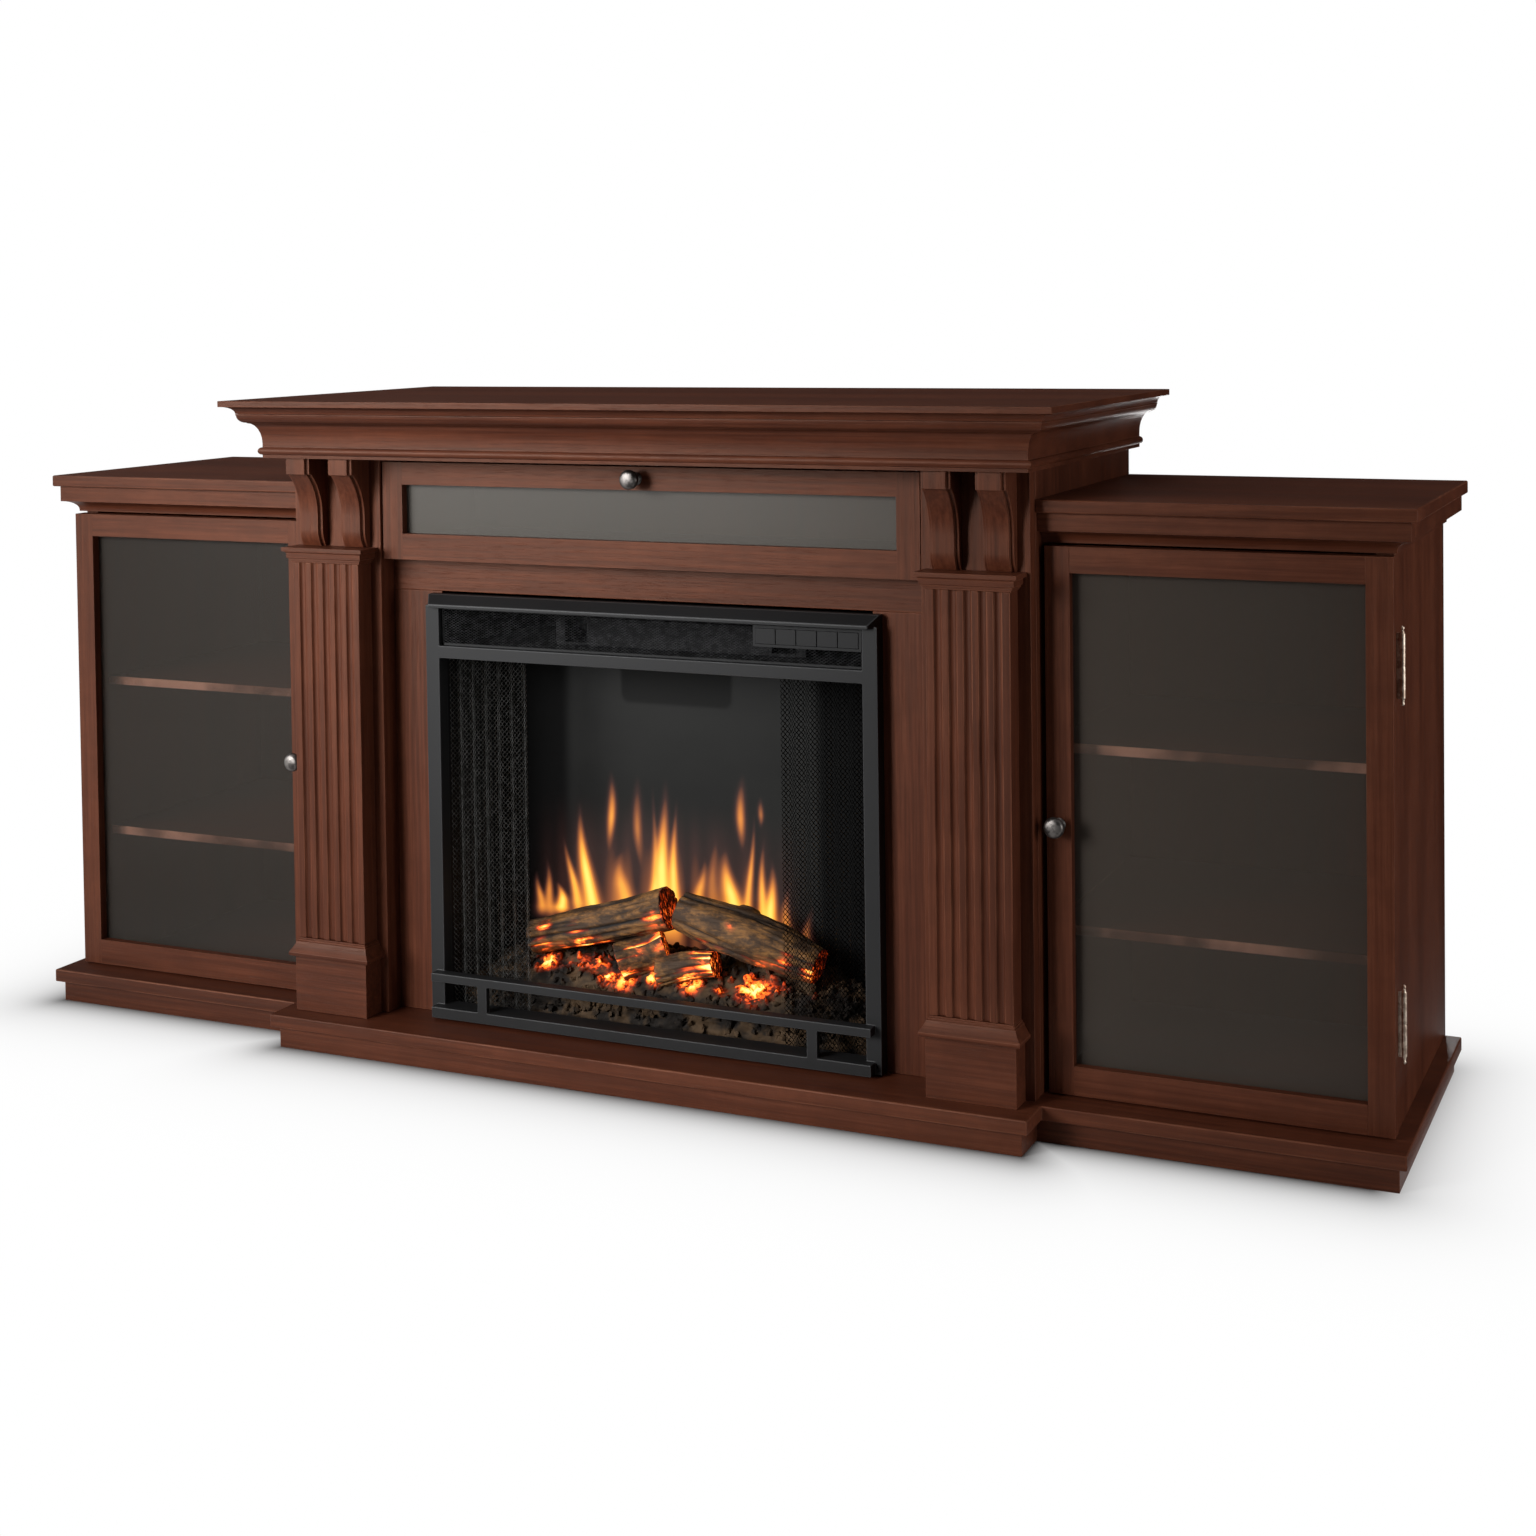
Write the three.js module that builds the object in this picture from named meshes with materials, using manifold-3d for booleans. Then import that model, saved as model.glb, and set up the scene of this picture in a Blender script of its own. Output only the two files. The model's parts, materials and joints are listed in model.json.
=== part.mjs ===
// Media console with an electric fireplace: a tall centre section between two glazed cabinets.
// Millimetres, +Z up. X runs across, and Y runs from the room (negative) to the wall (positive).
// The origin lies on the floor under the middle of the overall box.
import * as THREE from 'three';
import { mergeVertices } from 'three/addons/utils/BufferGeometryUtils.js';
import Module from 'manifold-3d';

const wasm = await Module();
wasm.setup();

// Overall box and what every piece shares
const overallWidth = 1701.8;
const overallDepth = 466;
const overallHeight = 773;
const seam = 0.3;
const overrun = 2;
const runningFit = 0.3;
const boardThickness = 18;
const backThickness = 5;

// Base: a stepped board on a stepped plinth
const plinthHeight = 25;
const plinthBoardThickness = 18;
const baseBoardThickness = 15.7;
const baseSideInset = 8.9;
const sideBaseProjection = 24.8;
const centreBaseSetback = 24.2;
const centreBaseStep = 9;
const plinthSetback = 8.2;

// Centre section
const bodyWidth = 924;
const topOverhang = 49.6;
const frontOverhang = 82;
const topThickness = 15.7;
const topNoseHeight = 7;
const topCoveRun = 13;
const topStep = 1.5;
const postWidth = 121;
const postReturnThickness = 18;
const surroundSetback = 27;
const surroundRailHeight = 38;

// Crown moulding under the centre top, from its outer top edge down
const crownHeight = 53;
const crownFillet = 1.5;
const crownOvoloRun = 8.5;
const crownOvoloHeight = 9;
const crownStep = 0.6;
const crownCoveRun = 12.4;
const crownCoveHeight = 24.5;
const crownBandHeight = 4.5;
const crownBeadHeight = 9;
const crownBeadProud = 4.3;

// Cabinet tops, mouldings, sides and shelves
const cabinetDrop = 101.5;
const cabinetTopThickness = 14;
const cabinetTopSetback = 98;
const cabinetTopChamfer = 1;
const cabinetSideInset = 26.9;
const cabinetFrontInset = 32.5;
const apronSetback = 6.7;
const apronHeight = 19.2;
const apronCoveRun = 16.3;
const apronCoveHeight = 11.6;
const apronLipHeight = 1.8;
const shelfThickness = 10.5;
const shelfSetback = 13.5;
const lowerShelfRise = 173.2;
const upperShelfRise = 367.7;

// Doors and their hinges
const doorThickness = 18.8;
const doorOverhang = 1.5;
const doorInnerGap = 6;
const doorBottomGap = 1.7;
const doorTopGap = 2.6;
const doorStileWidth = 27;
const doorTopRailHeight = 28;
const doorBottomRailHeight = 31;
const glassThickness = 4;
const glassRebateWidth = 6;
const glassRebateDepth = 8;
const hingeBarrelRadius = 4.3;
const hingeBarrelLength = 66;
const hingeFinialLength = 7;
const hingeLeafThickness = 0.6;
const hingeLeafWidth = 22;
const hingeClearance = 1.4;
const hingeEndDistance = 110;

// Knobs
const knobRadius = 11.25;
const knobProjection = 24;
const doorKnobRise = 286;

// Drop-front flap over the media bay
const flapHeight = 115;
const flapSetback = 3;
const flapThickness = 18;
const flapTopGap = 5.5;
const flapBottomGap = 0.6;
const flapEndGap = 2;
const flapStileWidth = 27;
const flapTopRailHeight = 26.5;
const flapBottomRailHeight = 30.5;
const flapPivotRadius = 3;
const flapPivotInset = 6;
const flapPivotSetback = 13;
const flapPivotRise = 6.5;

// Pilasters and corbels
const shaftWidth = 93;
const shaftProud = 27;
const fluteCount = 5;
const fluteWidth = 9;
const flutePitch = 16.5;
const fluteSink = 3.2;
const capHeight = 18;
const capProud = 36;
const capOverhang = 10;
const footProud = 37;
const footOverhang = 9.5;
const footBlockHeight = 64.7;
const footMouldingHeight = 22;
const corbelHeight = 106.4;
const corbelOffset = 30;
const corbelWidth = 33;
const corbelBandWidth = 25;
const corbelLayerSetback = 4;
const corbelHeadProud = 41;
const corbelHeadHeight = 19;
const corbelNeckStep = 4;
const corbelBodyProud = 15.6;
const corbelCoveHeight = 50;
const corbelToeRun = 6.6;
const corbelToeHeight = 20;

// Firebox insert: sheet-metal shell, front frame, hood and lower trim
const sheetThickness = 3;
const shellWidth = 544;
const shellDepth = 237;
const shellFit = 2;
const shellTopGap = 12;
const flangeWidth = 572;
const flangeThickness = 17.7;
const flangeLift = 1.7;
const flangeStileWidth = 18;
const flangeSillHeight = 14;
const flangeTopGap = 2.4;
const barHeight = 14.5;
const grilleBandHeight = 45.5;
const chamberRise = 6;
const hoodHeight = 14.5;
const hoodShoulderSetback = 7;
const hoodProjection = 8;
const hoodLipHeight = 4;
const hoodLipInset = 8.4;
const trimProud = 13;
const trimInset = 7.5;
const trimLift = 1;
const trimLowerHeight = 13;
const trimGap = 30;
const trimUpperHeight = 10;
const trimPostWidth = 12.5;
const trimPostOffset = 209.3;
const trimPostThickness = 8;
const glandRadius = 10;
const glandBoreRadius = 4.5;
const glandLength = 12;
const glandOffset = 200;
const glandRise = 38;

// Vent grille with the control bezel and its push buttons
const grilleThickness = 2;
const grilleSetback = 3.5;
const grilleMargin = 3;
const grilleGapWidth = 8.6;
const grilleGapHeight = 10;
const grillePitch = 10.4;
const grilleRowPitch = 6;
const grilleRowCount = 5;
const bezelWidth = 129;
const bezelHeight = 23.8;
const bezelEndGap = 0.3;
const bezelTopGap = 1.7;
const bezelThickness = 7;
const bezelSetback = 1;
const bezelBorder = 3;
const bezelFloorThickness = 1;
const buttonCount = 5;
const buttonGap = 0.6;
const buttonProud = 0.8;
const buttonThickness = 4;

// Mesh curtains, flame screen and the log set
const curtainWidth = 106.5;
const curtainSetback = 4.6;
const curtainSwing = 3;
const curtainSheet = 2.2;
const curtainFolds = 4;
const screenSetback = 101;
const screenThickness = 4;
const bedWidth = 520;
const bedSetback = 14;
const bedDepth = 81;
const bedFrontHeight = 38;
const bedBackHeight = 84;
const bedRipple = 4;
const bedColumnCount = 24;
const bedRowCount = 6;
const logRadius = 26;

// Flicker spindle behind the screen, and the heater blower above the chamber
const spindleSetback = 167;
const spindleRise = 78.7;
const spindleRadius = 3;
const finCount = 8;
const finLength = 34;
const finWidth = 26;
const finThickness = 1.2;
const finTurnShare = 1 / 6;
const bossRadius = 8;
const bossLength = 14;
const motorSize = 46;
const motorLength = 60;
const motorBoreDepth = 12;
const blowerSetback = 122;
const blowerRadius = 17;
const blowerLength = 300;
const vaneCount = 10;
const vaneWidth = 7;
const vaneThickness = 1.2;
const discThickness = 3;
const axleRadius = 3;
const axleReach = 9;
const heaterPlateThickness = 3;
const elementWidth = 18;
const elementHeight = 30;
const elementLength = 240;
const elementGap = 13;

// Openings in the back panel
const bayCableWidth = 70;
const bayCableHeight = 35;
const bayCableOffset = 200;
const bayCableRise = 95;
const cabinetCableWidth = 60;
const cabinetCableHeight = 50;
const cabinetCableOffset = 640;
const cabinetCableDrop = 35;
const serviceWidth = 300;
const serviceHeight = 250;
const serviceRise = 109;

// Smoothness of arcs and of turned pieces
const arcSteps = 6;
const turnedSides = 16;
const barrelSides = 12;

// Planes that several pieces share; every depth is measured out from the wall
const wallY = overallDepth / 2;
const overallHalf = overallWidth / 2;
const bodyHalf = bodyWidth / 2;
const cabinetHalf = overallHalf - cabinetSideInset;
const cabinetTopDepth = overallDepth - cabinetTopSetback;
const cabinetDepth = cabinetTopDepth - cabinetFrontInset;
const postDepth = overallDepth - frontOverhang;
const postInner = bodyHalf - postWidth;
const surroundDepth = postDepth - surroundSetback;
const baseTop = plinthHeight + seam + baseBoardThickness;
const floorZ = baseTop + seam;
const topBottom = overallHeight - topThickness;
const crownTop = topBottom - seam;
const crownBottom = crownTop - crownHeight;
const crownInset = topCoveRun + topStep;
const cabinetTopZ = overallHeight - cabinetDrop;
const cabinetTopBottom = cabinetTopZ - cabinetTopThickness;
const apronTop = cabinetTopBottom - seam;
const apronBottom = apronTop - apronHeight - apronCoveHeight - apronLipHeight;
const capTop = crownBottom - seam - corbelHeight - seam;
const flapTop = crownBottom - flapTopGap;
const flapBottom = flapTop - flapHeight;
const bayFloor = flapBottom - flapBottomGap;
const surroundOpeningTop = bayFloor - surroundRailHeight;
const shellTop = surroundOpeningTop - shellTopGap;
const flangeBottom = floorZ + flangeLift;
const flangeDepth = surroundDepth + seam + flangeThickness;
const hoodTop = surroundOpeningTop - flangeTopGap;
const grilleBandTop = hoodTop - hoodHeight;
const grilleBandBottom = grilleBandTop - grilleBandHeight;
const barBottom = grilleBandBottom - barHeight;
const chamberTop = barBottom + chamberRise;
const chamberFloor = floorZ + sheetThickness;

// y of a plane that stands a given distance out from the wall
const out = (depth) => wallY - depth;

function finish(color, roughness, metalness) {
  return new THREE.MeshStandardMaterial({ color, roughness, metalness });
}

const wood = finish(0x5a3128, 0.45, 0);
const blackMetal = finish(0x303236, 0.5, 0.3);
const darkMesh = finish(0x1b1b1b, 0.6, 0.4);
const smokedGlass = finish(0x4b4a47, 0.1, 0);
const pewter = finish(0x5d5856, 0.35, 0.9);
const antiqueBrass = finish(0x8a6f4e, 0.35, 0.9);
const blackPlastic = finish(0x2c2d30, 0.5, 0);
const charredResin = finish(0x4a3526, 0.9, 0);
const greyScreen = finish(0x2e2d2b, 0.3, 0);
const brightSteel = finish(0x9a9c9e, 0.3, 0.9);

const console3d = new THREE.Group();

// Adds one named sub-part to a group.
function place(group, name, geometry, material, position = [0, 0, 0]) {
  const mesh = new THREE.Mesh(geometry, material.clone());
  mesh.name = name;
  mesh.position.set(...position);
  group.add(mesh);
  return mesh;
}

// A box between two corners, whatever their order.
function boxBetween([x0, y0, z0], [x1, y1, z1]) {
  const box = new THREE.BoxGeometry(Math.abs(x1 - x0), Math.abs(y1 - y0), Math.abs(z1 - z0));
  return box.translate((x0 + x1) / 2, (y0 + y1) / 2, (z0 + z1) / 2);
}

function toShape(points) {
  return new THREE.Shape(points.map(([u, v]) => new THREE.Vector2(u, v)));
}

function rectangle(u0, u1, v0, v1) {
  return [[u0, v0], [u1, v0], [u1, v1], [u0, v1]];
}

function extrude(outline, holes, length) {
  const shape = toShape(outline);
  shape.holes = holes.map(toShape);
  return new THREE.ExtrudeGeometry(shape, { depth: length, bevelEnabled: false });
}

// Outline in X and Y, drawn out upwards from zFrom to zTo.
function upright(outline, zFrom, zTo, holes = []) {
  return extrude(outline, holes, zTo - zFrom).translate(0, 0, zFrom);
}

// Outline in Y and Z, drawn out along X.
function crosswise(outline, xFrom, xTo) {
  const turn = new THREE.Matrix4().makeBasis(
    new THREE.Vector3(0, 1, 0), new THREE.Vector3(0, 0, 1), new THREE.Vector3(1, 0, 0));
  return extrude(outline, [], xTo - xFrom).applyMatrix4(turn).translate(xFrom, 0, 0);
}

// Outline in X and Z, drawn out along Y.
function frontal(outline, yFrom, yTo, holes = []) {
  const turn = new THREE.Matrix4().makeBasis(
    new THREE.Vector3(1, 0, 0), new THREE.Vector3(0, 0, 1), new THREE.Vector3(0, -1, 0));
  return extrude(outline, holes, yTo - yFrom).applyMatrix4(turn).translate(0, yTo, 0);
}

function rodAlongX(radius, length, rodSides) {
  return new THREE.CylinderGeometry(radius, radius, length, rodSides).rotateZ(Math.PI / 2);
}

// Joins equal-length closed sections one after the other and closes both ends.
function loft(sections, endOutline) {
  const count = sections[0].length;
  const faces = [];
  for (let s = 0; s + 1 < sections.length; s += 1) {
    for (let i = 0; i < count; i += 1) {
      const next = (i + 1) % count;
      const [a, b] = [s * count + i, s * count + next];
      faces.push([a, b, b + count], [a, b + count, a + count]);
    }
  }
  const contour = endOutline.map(([u, v]) => new THREE.Vector2(u, v));
  const clockwise = THREE.ShapeUtils.isClockWise(contour);
  const far = (sections.length - 1) * count;
  for (const [a, b, c] of THREE.ShapeUtils.triangulateShape(contour, [])) {
    const [d, e] = clockwise ? [c, b] : [b, c];
    faces.push([a, e, d], [far + a, far + d, far + e]);
  }
  return facingOut(sections.flat(), faces);
}

// A closed surface whose faces are turned over if they point inwards.
function facingOut(points, faces) {
  const vectors = points.map((p) => new THREE.Vector3(...p));
  let volume = 0;
  for (const [a, b, c] of faces) {
    volume += vectors[a].dot(new THREE.Vector3().crossVectors(vectors[b], vectors[c]));
  }
  const turned = volume < 0 ? faces.map(([a, b, c]) => [a, c, b]) : faces;
  const geometry = new THREE.BufferGeometry();
  geometry.setAttribute('position', new THREE.Float32BufferAttribute(points.flat(), 3));
  geometry.setIndex(turned.flat());
  return geometry;
}

function toSolid(geometry) {
  const bare = geometry.clone();
  bare.deleteAttribute('normal');
  bare.deleteAttribute('uv');
  const merged = mergeVertices(bare);
  return new wasm.Manifold(new wasm.Mesh({
    numProp: 3,
    vertProperties: new Float32Array(merged.attributes.position.array),
    triVerts: new Uint32Array(merged.index.array),
  }));
}

function toGeometry(solid) {
  const mesh = solid.getMesh();
  const geometry = new THREE.BufferGeometry();
  geometry.setAttribute('position', new THREE.BufferAttribute(new Float32Array(mesh.vertProperties), 3));
  geometry.setIndex(new THREE.BufferAttribute(new Uint32Array(mesh.triVerts), 1));
  return geometry;
}

function joined(first, ...others) {
  return toGeometry(others.reduce((sum, other) => sum.add(toSolid(other)), toSolid(first)));
}

function cut(body, ...tools) {
  return toGeometry(tools.reduce((rest, tool) => rest.subtract(toSolid(tool)), toSolid(body)));
}

// The same shape on the other side of the middle plane.
function onSide(sign, geometry) {
  if (sign > 0) return geometry;
  const source = geometry.index ? geometry : mergeVertices(geometry);
  const points = source.attributes.position;
  const flipped = Array.from({ length: points.count },
    (_, i) => [-points.getX(i), points.getY(i), points.getZ(i)]);
  const faces = [];
  for (let i = 0; i < source.index.count; i += 3) {
    faces.push([source.index.getX(i), source.index.getX(i + 1), source.index.getX(i + 2)]);
  }
  return facingOut(flipped, faces);
}

// Quarter of an ellipse from (u0, v0) to (u1, v1); it leaves the first point along u or along v.
function quarter([u0, v0], [u1, v1], leavesAlongU) {
  return Array.from({ length: arcSteps + 1 }, (_, i) => {
    const angle = (i / arcSteps) * (Math.PI / 2);
    const [a, b] = [Math.sin(angle), 1 - Math.cos(angle)];
    const [shareU, shareV] = leavesAlongU ? [a, b] : [b, a];
    return [u0 + (u1 - u0) * shareU, v0 + (v1 - v0) * shareV];
  });
}

// Arc that starts upright and has moved sideways by run when it has climbed by rise.
function leaningArc([u, v], run, rise) {
  const radius = (run * run + rise * rise) / (2 * Math.abs(run));
  const sweep = 2 * Math.atan(Math.abs(run) / Math.abs(rise));
  return Array.from({ length: arcSteps + 1 }, (_, i) => {
    const angle = (i / arcSteps) * sweep;
    const [across, up] = [radius * (1 - Math.cos(angle)), radius * Math.sin(angle)];
    return [u + Math.sign(run) * across, v + Math.sign(rise) * up];
  });
}

// A block with its back at yBack, whose front and chosen ends follow [inset, height] points.
function mouldedBlock({ x0, x1, yFront, yBack, profile, lowEnd = true }) {
  const sections = profile.map(([inset, z]) => rectangle(
    x0 + (lowEnd ? inset : 0), x1 - inset, yFront + inset, yBack).map(([x, y]) => [x, y, z]));
  return loft(sections, rectangle(x0, x1, yFront, yBack));
}

// A moulding that runs round corners: each station gives the x and y of a point by its inset.
function mouldingRound(profile, stations) {
  return loft(stations.map((station) => profile.map(([inset, z]) => [...station(inset), z])), profile);
}

const sides = [['left', -1], ['right', 1]];

// Base
const sideBaseHalf = overallHalf - baseSideInset;
const sideBaseDepth = cabinetTopDepth + sideBaseProjection;
const centreBaseHalf = bodyHalf + centreBaseStep;
const centreBaseDepth = overallDepth - centreBaseSetback;

function baseOutline(inset) {
  const [wide, narrow] = [sideBaseHalf - inset, centreBaseHalf - inset];
  const [near, far] = [out(sideBaseDepth - inset), out(centreBaseDepth - inset)];
  return [[-wide, wallY], [-wide, near], [-narrow, near], [-narrow, far],
    [narrow, far], [narrow, near], [wide, near], [wide, wallY]];
}

function makeBase() {
  const board = upright(baseOutline(0), plinthHeight + seam, baseTop);
  const outer = baseOutline(plinthSetback);
  const inner = baseOutline(plinthSetback + plinthBoardThickness).reverse();
  const plinth = upright([...outer, ...inner], 0, plinthHeight);
  place(console3d, 'base_board', board, wood);
  place(console3d, 'plinth', plinth, wood);
}

// Back panel with its cable slots and the service opening behind the firebox
function makeBackPanel() {
  const outline = [[-cabinetHalf, floorZ], [cabinetHalf, floorZ], [cabinetHalf, apronTop],
    [bodyHalf, apronTop], [bodyHalf, crownTop], [-bodyHalf, crownTop],
    [-bodyHalf, apronTop], [-cabinetHalf, apronTop]];
  const slot = (x, z, width, height) => boxBetween(
    [x - width / 2, out(backThickness + overrun), z - height / 2],
    [x + width / 2, wallY + overrun, z + height / 2]);
  const slots = [slot(0, floorZ + serviceRise + serviceHeight / 2, serviceWidth, serviceHeight)];
  for (const [, sign] of sides) {
    slots.push(slot(sign * bayCableOffset, bayFloor + bayCableRise, bayCableWidth, bayCableHeight));
    slots.push(slot(sign * cabinetCableOffset, cabinetTopBottom - cabinetCableDrop,
      cabinetCableWidth, cabinetCableHeight));
  }
  const panel = frontal(outline, out(backThickness), wallY);
  place(console3d, 'back_panel', cut(panel, ...slots), wood);
}

// Upright boards and shelves, all of them between the back panel and the front
function makeCarcass() {
  const back = out(backThickness + seam);
  const shelfEnd = bodyHalf - boardThickness - seam;
  const mediaShelf = boxBetween(
    [-shelfEnd, out(surroundDepth - boardThickness - seam), bayFloor - boardThickness],
    [shelfEnd, back, bayFloor]);
  place(console3d, 'media_shelf', mediaShelf, wood);

  for (const [side, sign] of sides) {
    const centreSide = boxBetween(
      [sign * (bodyHalf - boardThickness), out(postDepth - boardThickness - seam), floorZ],
      [sign * bodyHalf, back, crownTop]);
    place(console3d, `centre_side_${side}`, centreSide, wood);

    const cabinetSide = boxBetween(
      [sign * (cabinetHalf - boardThickness), out(cabinetDepth), floorZ],
      [sign * cabinetHalf, back, apronTop]);
    place(console3d, `cabinet_side_${side}`, cabinetSide, wood);

    for (const [level, rise] of [['lower', lowerShelfRise], ['upper', upperShelfRise]]) {
      const shelf = boxBetween(
        [sign * (bodyHalf + seam), out(cabinetDepth - shelfSetback), floorZ + rise - shelfThickness],
        [sign * (cabinetHalf - boardThickness - seam), back, floorZ + rise]);
      place(console3d, `${level}_shelf_${side}`, shelf, wood);
    }
  }
}

// Posts beside the fireplace, with the bores that carry the flap's pivots
const flapFront = postDepth - flapSetback;
const pivotY = out(flapFront - flapPivotSetback);
const pivotZ = flapBottom + flapPivotRise;

function makePosts() {
  const boreRadius = flapPivotRadius + runningFit;
  const boreDepth = flapPivotInset + seam;
  const bore = rodAlongX(boreRadius, boreDepth + overrun, barrelSides)
    .translate(postInner + (boreDepth - overrun) / 2, pivotY, pivotZ);
  const returnEnd = postInner + postReturnThickness;
  const boardBack = out(postDepth - boardThickness);
  const returnBack = out(surroundDepth - boardThickness);
  const outline = [[postInner, out(postDepth)], [bodyHalf, out(postDepth)], [bodyHalf, boardBack],
    [returnEnd, boardBack], [returnEnd, returnBack], [postInner, returnBack]];
  const post = cut(upright(outline, floorZ, crownTop), bore);
  for (const [side, sign] of sides) place(console3d, `front_post_${side}`, onSide(sign, post), wood);
}

// Inverted U round the fireplace opening
function makeSurround() {
  const [outer, opening] = [postInner - seam, shellWidth / 2 + shellFit];
  const outline = [[-outer, floorZ], [-opening, floorZ], [-opening, surroundOpeningTop],
    [opening, surroundOpeningTop], [opening, floorZ], [outer, floorZ],
    [outer, bayFloor], [-outer, bayFloor]];
  const frame = frontal(outline, out(surroundDepth), out(surroundDepth - boardThickness));
  place(console3d, 'surround_frame', frame, wood);
}

// Centre top with its nosed edge
const topHalf = bodyHalf + topOverhang;

function makeCentreTop() {
  const noseBottom = overallHeight - topNoseHeight;
  const profile = [...quarter([crownInset, topBottom], [topStep, noseBottom], false),
    [0, noseBottom], [0, overallHeight]];
  const top = mouldedBlock({ x0: -topHalf, x1: topHalf, yFront: out(overallDepth), yBack: wallY, profile });
  place(console3d, 'centre_top', top, wood);
}

// Crown moulding on three sides, with the header boards that fill it above the posts and the bay
function makeCrown() {
  const wall = topOverhang - seam;
  const ovoloTop = crownTop - crownFillet;
  const ovoloStart = [crownInset + crownStep, ovoloTop];
  const ovoloEnd = [ovoloStart[0] + crownOvoloRun, ovoloTop - crownOvoloHeight];
  const coveStart = [ovoloEnd[0] + crownStep, ovoloEnd[1] - crownStep];
  const coveEnd = [coveStart[0] + crownCoveRun, coveStart[1] - crownCoveHeight];
  const beadMiddle = coveEnd[1] - crownBandHeight - crownBeadHeight / 2;
  const bead = Array.from({ length: arcSteps + 1 }, (_, i) => {
    const angle = (i / arcSteps) * Math.PI;
    return [coveEnd[0] - crownBeadProud * Math.sin(angle),
      beadMiddle + (crownBeadHeight / 2) * Math.cos(angle)];
  });
  const outline = [[wall, crownTop], [crownInset, crownTop], [crownInset, ovoloTop],
    ...quarter(ovoloStart, ovoloEnd, false), ...quarter(coveStart, coveEnd, true),
    ...bead, [coveEnd[0], crownBottom], [wall, crownBottom]];
  const moulding = mouldingRound(outline, [
    (inset) => [-(topHalf - inset), wallY],
    (inset) => [-(topHalf - inset), out(overallDepth - inset)],
    (inset) => [topHalf - inset, out(overallDepth - inset)],
    (inset) => [topHalf - inset, wallY],
  ]);
  const headerHalf = topHalf - wall + overrun;
  const header = boxBetween([-headerHalf, out(overallDepth - wall) - overrun, crownBottom],
    [headerHalf, out(postDepth + seam), crownTop]);
  const innerRail = boxBetween([-(postInner - seam), out(postDepth + seam + overrun), crownBottom],
    [postInner - seam, out(surroundDepth + seam), crownTop]);
  place(console3d, 'crown_and_header', joined(moulding, header, innerRail), wood);
}

// Cabinet tops with the apron moulding under them
function makeCabinetTops() {
  const slabProfile = [[cabinetTopChamfer, cabinetTopBottom], [0, cabinetTopBottom + cabinetTopChamfer],
    [0, cabinetTopZ - cabinetTopChamfer], [cabinetTopChamfer, cabinetTopZ]];
  const inner = bodyHalf + seam;
  const front = out(cabinetTopDepth);
  const slab = mouldedBlock({
    x0: inner, x1: overallHalf, yFront: front, yBack: wallY, profile: slabProfile, lowEnd: false,
  });

  const coveTop = apronTop - apronHeight;
  const coveEnd = [apronSetback + apronCoveRun, coveTop - apronCoveHeight];
  const wall = cabinetSideInset - seam;
  const outline = [[wall, apronTop], [apronSetback, apronTop],
    ...quarter([apronSetback, coveTop], coveEnd, true), [coveEnd[0], apronBottom], [wall, apronBottom]];
  const apron = mouldingRound(outline, [
    (inset) => [inner, front + inset],
    (inset) => [overallHalf - inset, front + inset],
    (inset) => [overallHalf - inset, wallY],
  ]);
  for (const [side, sign] of sides) {
    place(console3d, `cabinet_top_${side}`, onSide(sign, slab), wood);
    place(console3d, `cabinet_apron_${side}`, onSide(sign, apron), wood);
  }
}

// A rebated frame and the pane that lies in it from behind
function glazedFrame({ x0, x1, z0, z1, stile, topRail, bottomRail, yFront, yBack }) {
  const [openX0, openX1] = [x0 + stile, x1 - stile];
  const [openZ0, openZ1] = [z0 + bottomRail, z1 - topRail];
  const frame = frontal(rectangle(x0, x1, z0, z1), yFront, yBack,
    [rectangle(openX0, openX1, openZ0, openZ1)]);
  const rebateFront = yBack - glassRebateDepth;
  const rebate = boxBetween([openX0 - glassRebateWidth, rebateFront, openZ0 - glassRebateWidth],
    [openX1 + glassRebateWidth, yBack + overrun, openZ1 + glassRebateWidth]);
  const edge = glassRebateWidth - seam;
  const pane = boxBetween([openX0 - edge, rebateFront + seam, openZ0 - edge],
    [openX1 + edge, rebateFront + seam + glassThickness, openZ1 + edge]);
  return { frame: cut(frame, rebate), pane };
}

// Turned knob along the lathe's axis: shares of its radius and of its projection
const knobShares = [[0.66, 0], [0.66, 0.07], [0.42, 0.14], [0.38, 0.42], [0.55, 0.52],
  [0.94, 0.62], [1, 0.74], [0.94, 0.86], [0.72, 0.96], [0.36, 1]];

function placeKnob(group, name, x, y, z) {
  const side = knobShares.map(([r, h]) => new THREE.Vector2(r * knobRadius, h * knobProjection));
  const profile = [new THREE.Vector2(0, 0), ...side, new THREE.Vector2(0, knobProjection)];
  const knob = place(group, name, new THREE.LatheGeometry(profile, turnedSides), pewter, [x, y, z]);
  knob.rotation.z = Math.PI;
}

// Hinge: a barrel with a turned finial at each end, and the leaf on the cabinet's front edge.
// The finial's points are shares of the barrel's radius and of the finial's length.
const finialShares = [[0.55, 0.12], [0.72, 0.3], [0.5, 0.42], [0.8, 0.62], [0.72, 0.84], [0.4, 0.97]];
const doorOuterEdge = cabinetHalf + doorOverhang;
const doorBack = cabinetDepth + 2 * seam + hingeLeafThickness;
const doorFront = doorBack + doorThickness;
const hingeX = doorOuterEdge + hingeClearance + hingeBarrelRadius;
const hingeY = out((doorBack + cabinetDepth) / 2);

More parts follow.
